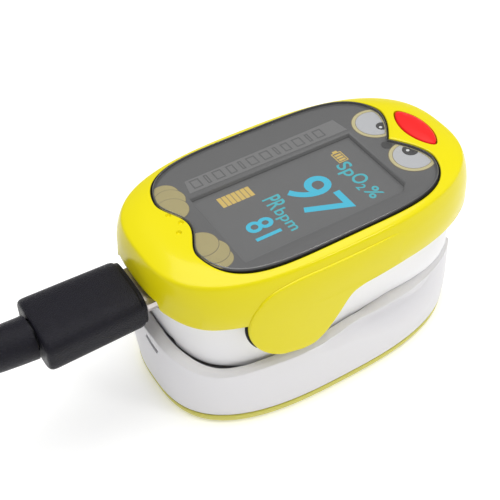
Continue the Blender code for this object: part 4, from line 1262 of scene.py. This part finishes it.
def far_shell(x0, y, z):
    """The far plug's metal shell with two windows, and the block and four contacts inside it."""
    mesh = skin_mesh(along_x(FAR_SHELL_SECTIONS, FAR_SHELL_HALF, 12, 64, (y, z), x0))
    mesh = carve(mesh, box_mesh((x0 + 1.2, y - 5.65, z - 1.9), (x0 + 20, y + 5.65, z + 1.9)))
    for place in (y - 3.2, y + 3.2):
        mesh = carve(mesh, box_mesh((x0 + 6.5, place - 1.1, z + 1), (x0 + 9.0, place + 1.1, z + 3)))
    put("far_metal", mesh, STEEL, "lower_half", ["far_plug_shell"], 30)
    block = box_mesh((x0 + 1.3, y - 5.5, z - 1.85), (x0 + 17.2, y + 5.5, z - 0.1))
    put("far_block", block, TONGUE, "lower_half", (), 30)
    pins = []
    for place in (y - 3.5, y - 1.1, y + 1.1, y + 3.5):
        outline = rectangle((x0 + 8.0, place - 0.5), (x0 + 16.6, place + 0.5))
        pins.append(prism_mesh(outline, z - 0.12, z + 0.06, 0.05))
    put("far_contacts", joined(pins), BRASS, "lower_half", (), 30)


def far_plug():
    """The USB-A plug on the coil."""
    x, y, z = FAR_PLUG
    far_boot(x, y, z)
    x += FAR_BOOT_LENGTH + GAP
    body = skin_mesh(along_x(FAR_BODY_SECTIONS, FAR_BODY_HALF, 4, 80, (y, z), x))
    put("far_body", body, BLACK, "lower_half", ["far_plug_body"], 50)
    far_shell(x + FAR_BODY_LENGTH + GAP, y, z)


# ---- inner pieces

# The ribbon's loop of slack behind the hinge, in X and Z
RIBBON_ROUTE = ((-15.3, 8.05), (-16.9, 8.5), (-18.3, 10.6), (-18.8, 13.6), (-18.4, 16.4), (-17.2, 18.6),
                (-16.6, 20.4), (-16.4, 22.2))
RIBBON_HALF_WIDTH, RIBBON_HALF_THICK = 2.6, 0.07


def flex_ribbon():
    """The film ribbon between the halves."""
    line = smooth(RIBBON_ROUTE, 5)
    rings = []
    for i, (x, z) in enumerate(line):
        (x0, z0), (x1, z1) = line[max(i - 1, 0)], line[min(i + 1, len(line) - 1)]
        across = RIBBON_HALF_THICK / math.hypot(x1 - x0, z1 - z0)
        dx, dz = (z1 - z0) * across, (x0 - x1) * across
        corners = ((1, -1), (1, 1), (-1, 1), (-1, -1))
        rings.append([(x + face * dx, side * RIBBON_HALF_WIDTH, z + face * dz) for face, side in corners])
    ribbon = put("film_ribbon", skin_mesh(rings), AMBER, None, (), 50)
    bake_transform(ribbon)
    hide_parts("flex_ribbon")


def inner_pieces():
    paint(STEEL, "charging_socket", "plug_metal_shell")
    paint(SPRING_STEEL, "hinge_pin", "torsion_spring_left", "torsion_spring_right", "board_screw_1",
          "board_screw_2", *[f"bottom_screw_{i}" for i in (1, 2, 3, 4)])
    paint(BOARD, "main_board", "emitter_board", "sensor_board")
    paint(FOIL, "rechargeable_cell")
    paint(WHITE, "display_bracket")
    paint(SWITCH, "tactile_switch", "switch_plunger")


# ---- stage and light

FLOOR_GLOW, SKY_STRENGTH = 0.32, 0.31
# Name, place, size and power of each lamp, in metres and watts. All of them face the object.
LAMPS = (
    ("top_lamp", (0.02, 0.02, 0.6), 0.6, 3.55),
    ("key_lamp", (0.25, -0.36, 0.41), 0.12, 0.58),
    ("front_lamp", (0.5, -0.1, 0.3), 0.35, 0.12),
    ("rear_lamp", (-0.42, -0.2, 0.3), 0.3, 0.12),
)


def stage():
    """A plain pale floor, a bright even sky, and soft lamps overhead, beside, in front and behind."""
    mesh = bpy.data.meshes.new("floor")
    made = bmesh.new()
    bmesh.ops.create_grid(made, x_segments=2, y_segments=2, size=3.0)
    made.to_mesh(mesh)
    made.free()
    floor = bpy.data.objects.new("floor", mesh)
    floor.location.z = -0.0001
    mesh.materials.append(surface("floor_paint", (0.86, 0.86, 0.86), 0.8, 0.004, 60.0, 1.5, 0.01))
    shader = mesh.materials[0].node_tree.nodes["Principled BSDF"]
    shader.inputs["Emission Color"].default_value = (1, 1, 1, 1)
    shader.inputs["Emission Strength"].default_value = FLOOR_GLOW
    bpy.context.scene.collection.objects.link(floor)
    world = bpy.data.worlds.new("sky")
    world.use_nodes = True
    world.node_tree.nodes["Background"].inputs["Color"].default_value = (1, 1, 1, 1)
    world.node_tree.nodes["Background"].inputs["Strength"].default_value = SKY_STRENGTH
    bpy.context.scene.world = world
    for name, place, size, power in LAMPS:
        data = bpy.data.lights.new(name, "AREA")
        data.size = size
        data.energy = power
        lamp = bpy.data.objects.new(name, data)
        lamp.location = place
        lamp.rotation_euler = (-Vector(place)).to_track_quat("-Z", "Y").to_euler()
        bpy.context.scene.collection.objects.link(lamp)
    bpy.context.scene.view_settings.view_transform = "Standard"


top_cover()
for wing_side, wing_name in ((-1, "right"), (1, "left")):
    wing(wing_side, wing_name)
    wing_shadow_line(wing_side, wing_name)
window()
raised_strip()
readout()
printed_face()
power_button()
upper_shell()
lower_shell()
base_cover()
finger_pads()
charging_plug()
far_plug()
lead_tie()
lead()
flex_ribbon()
inner_pieces()
stage()
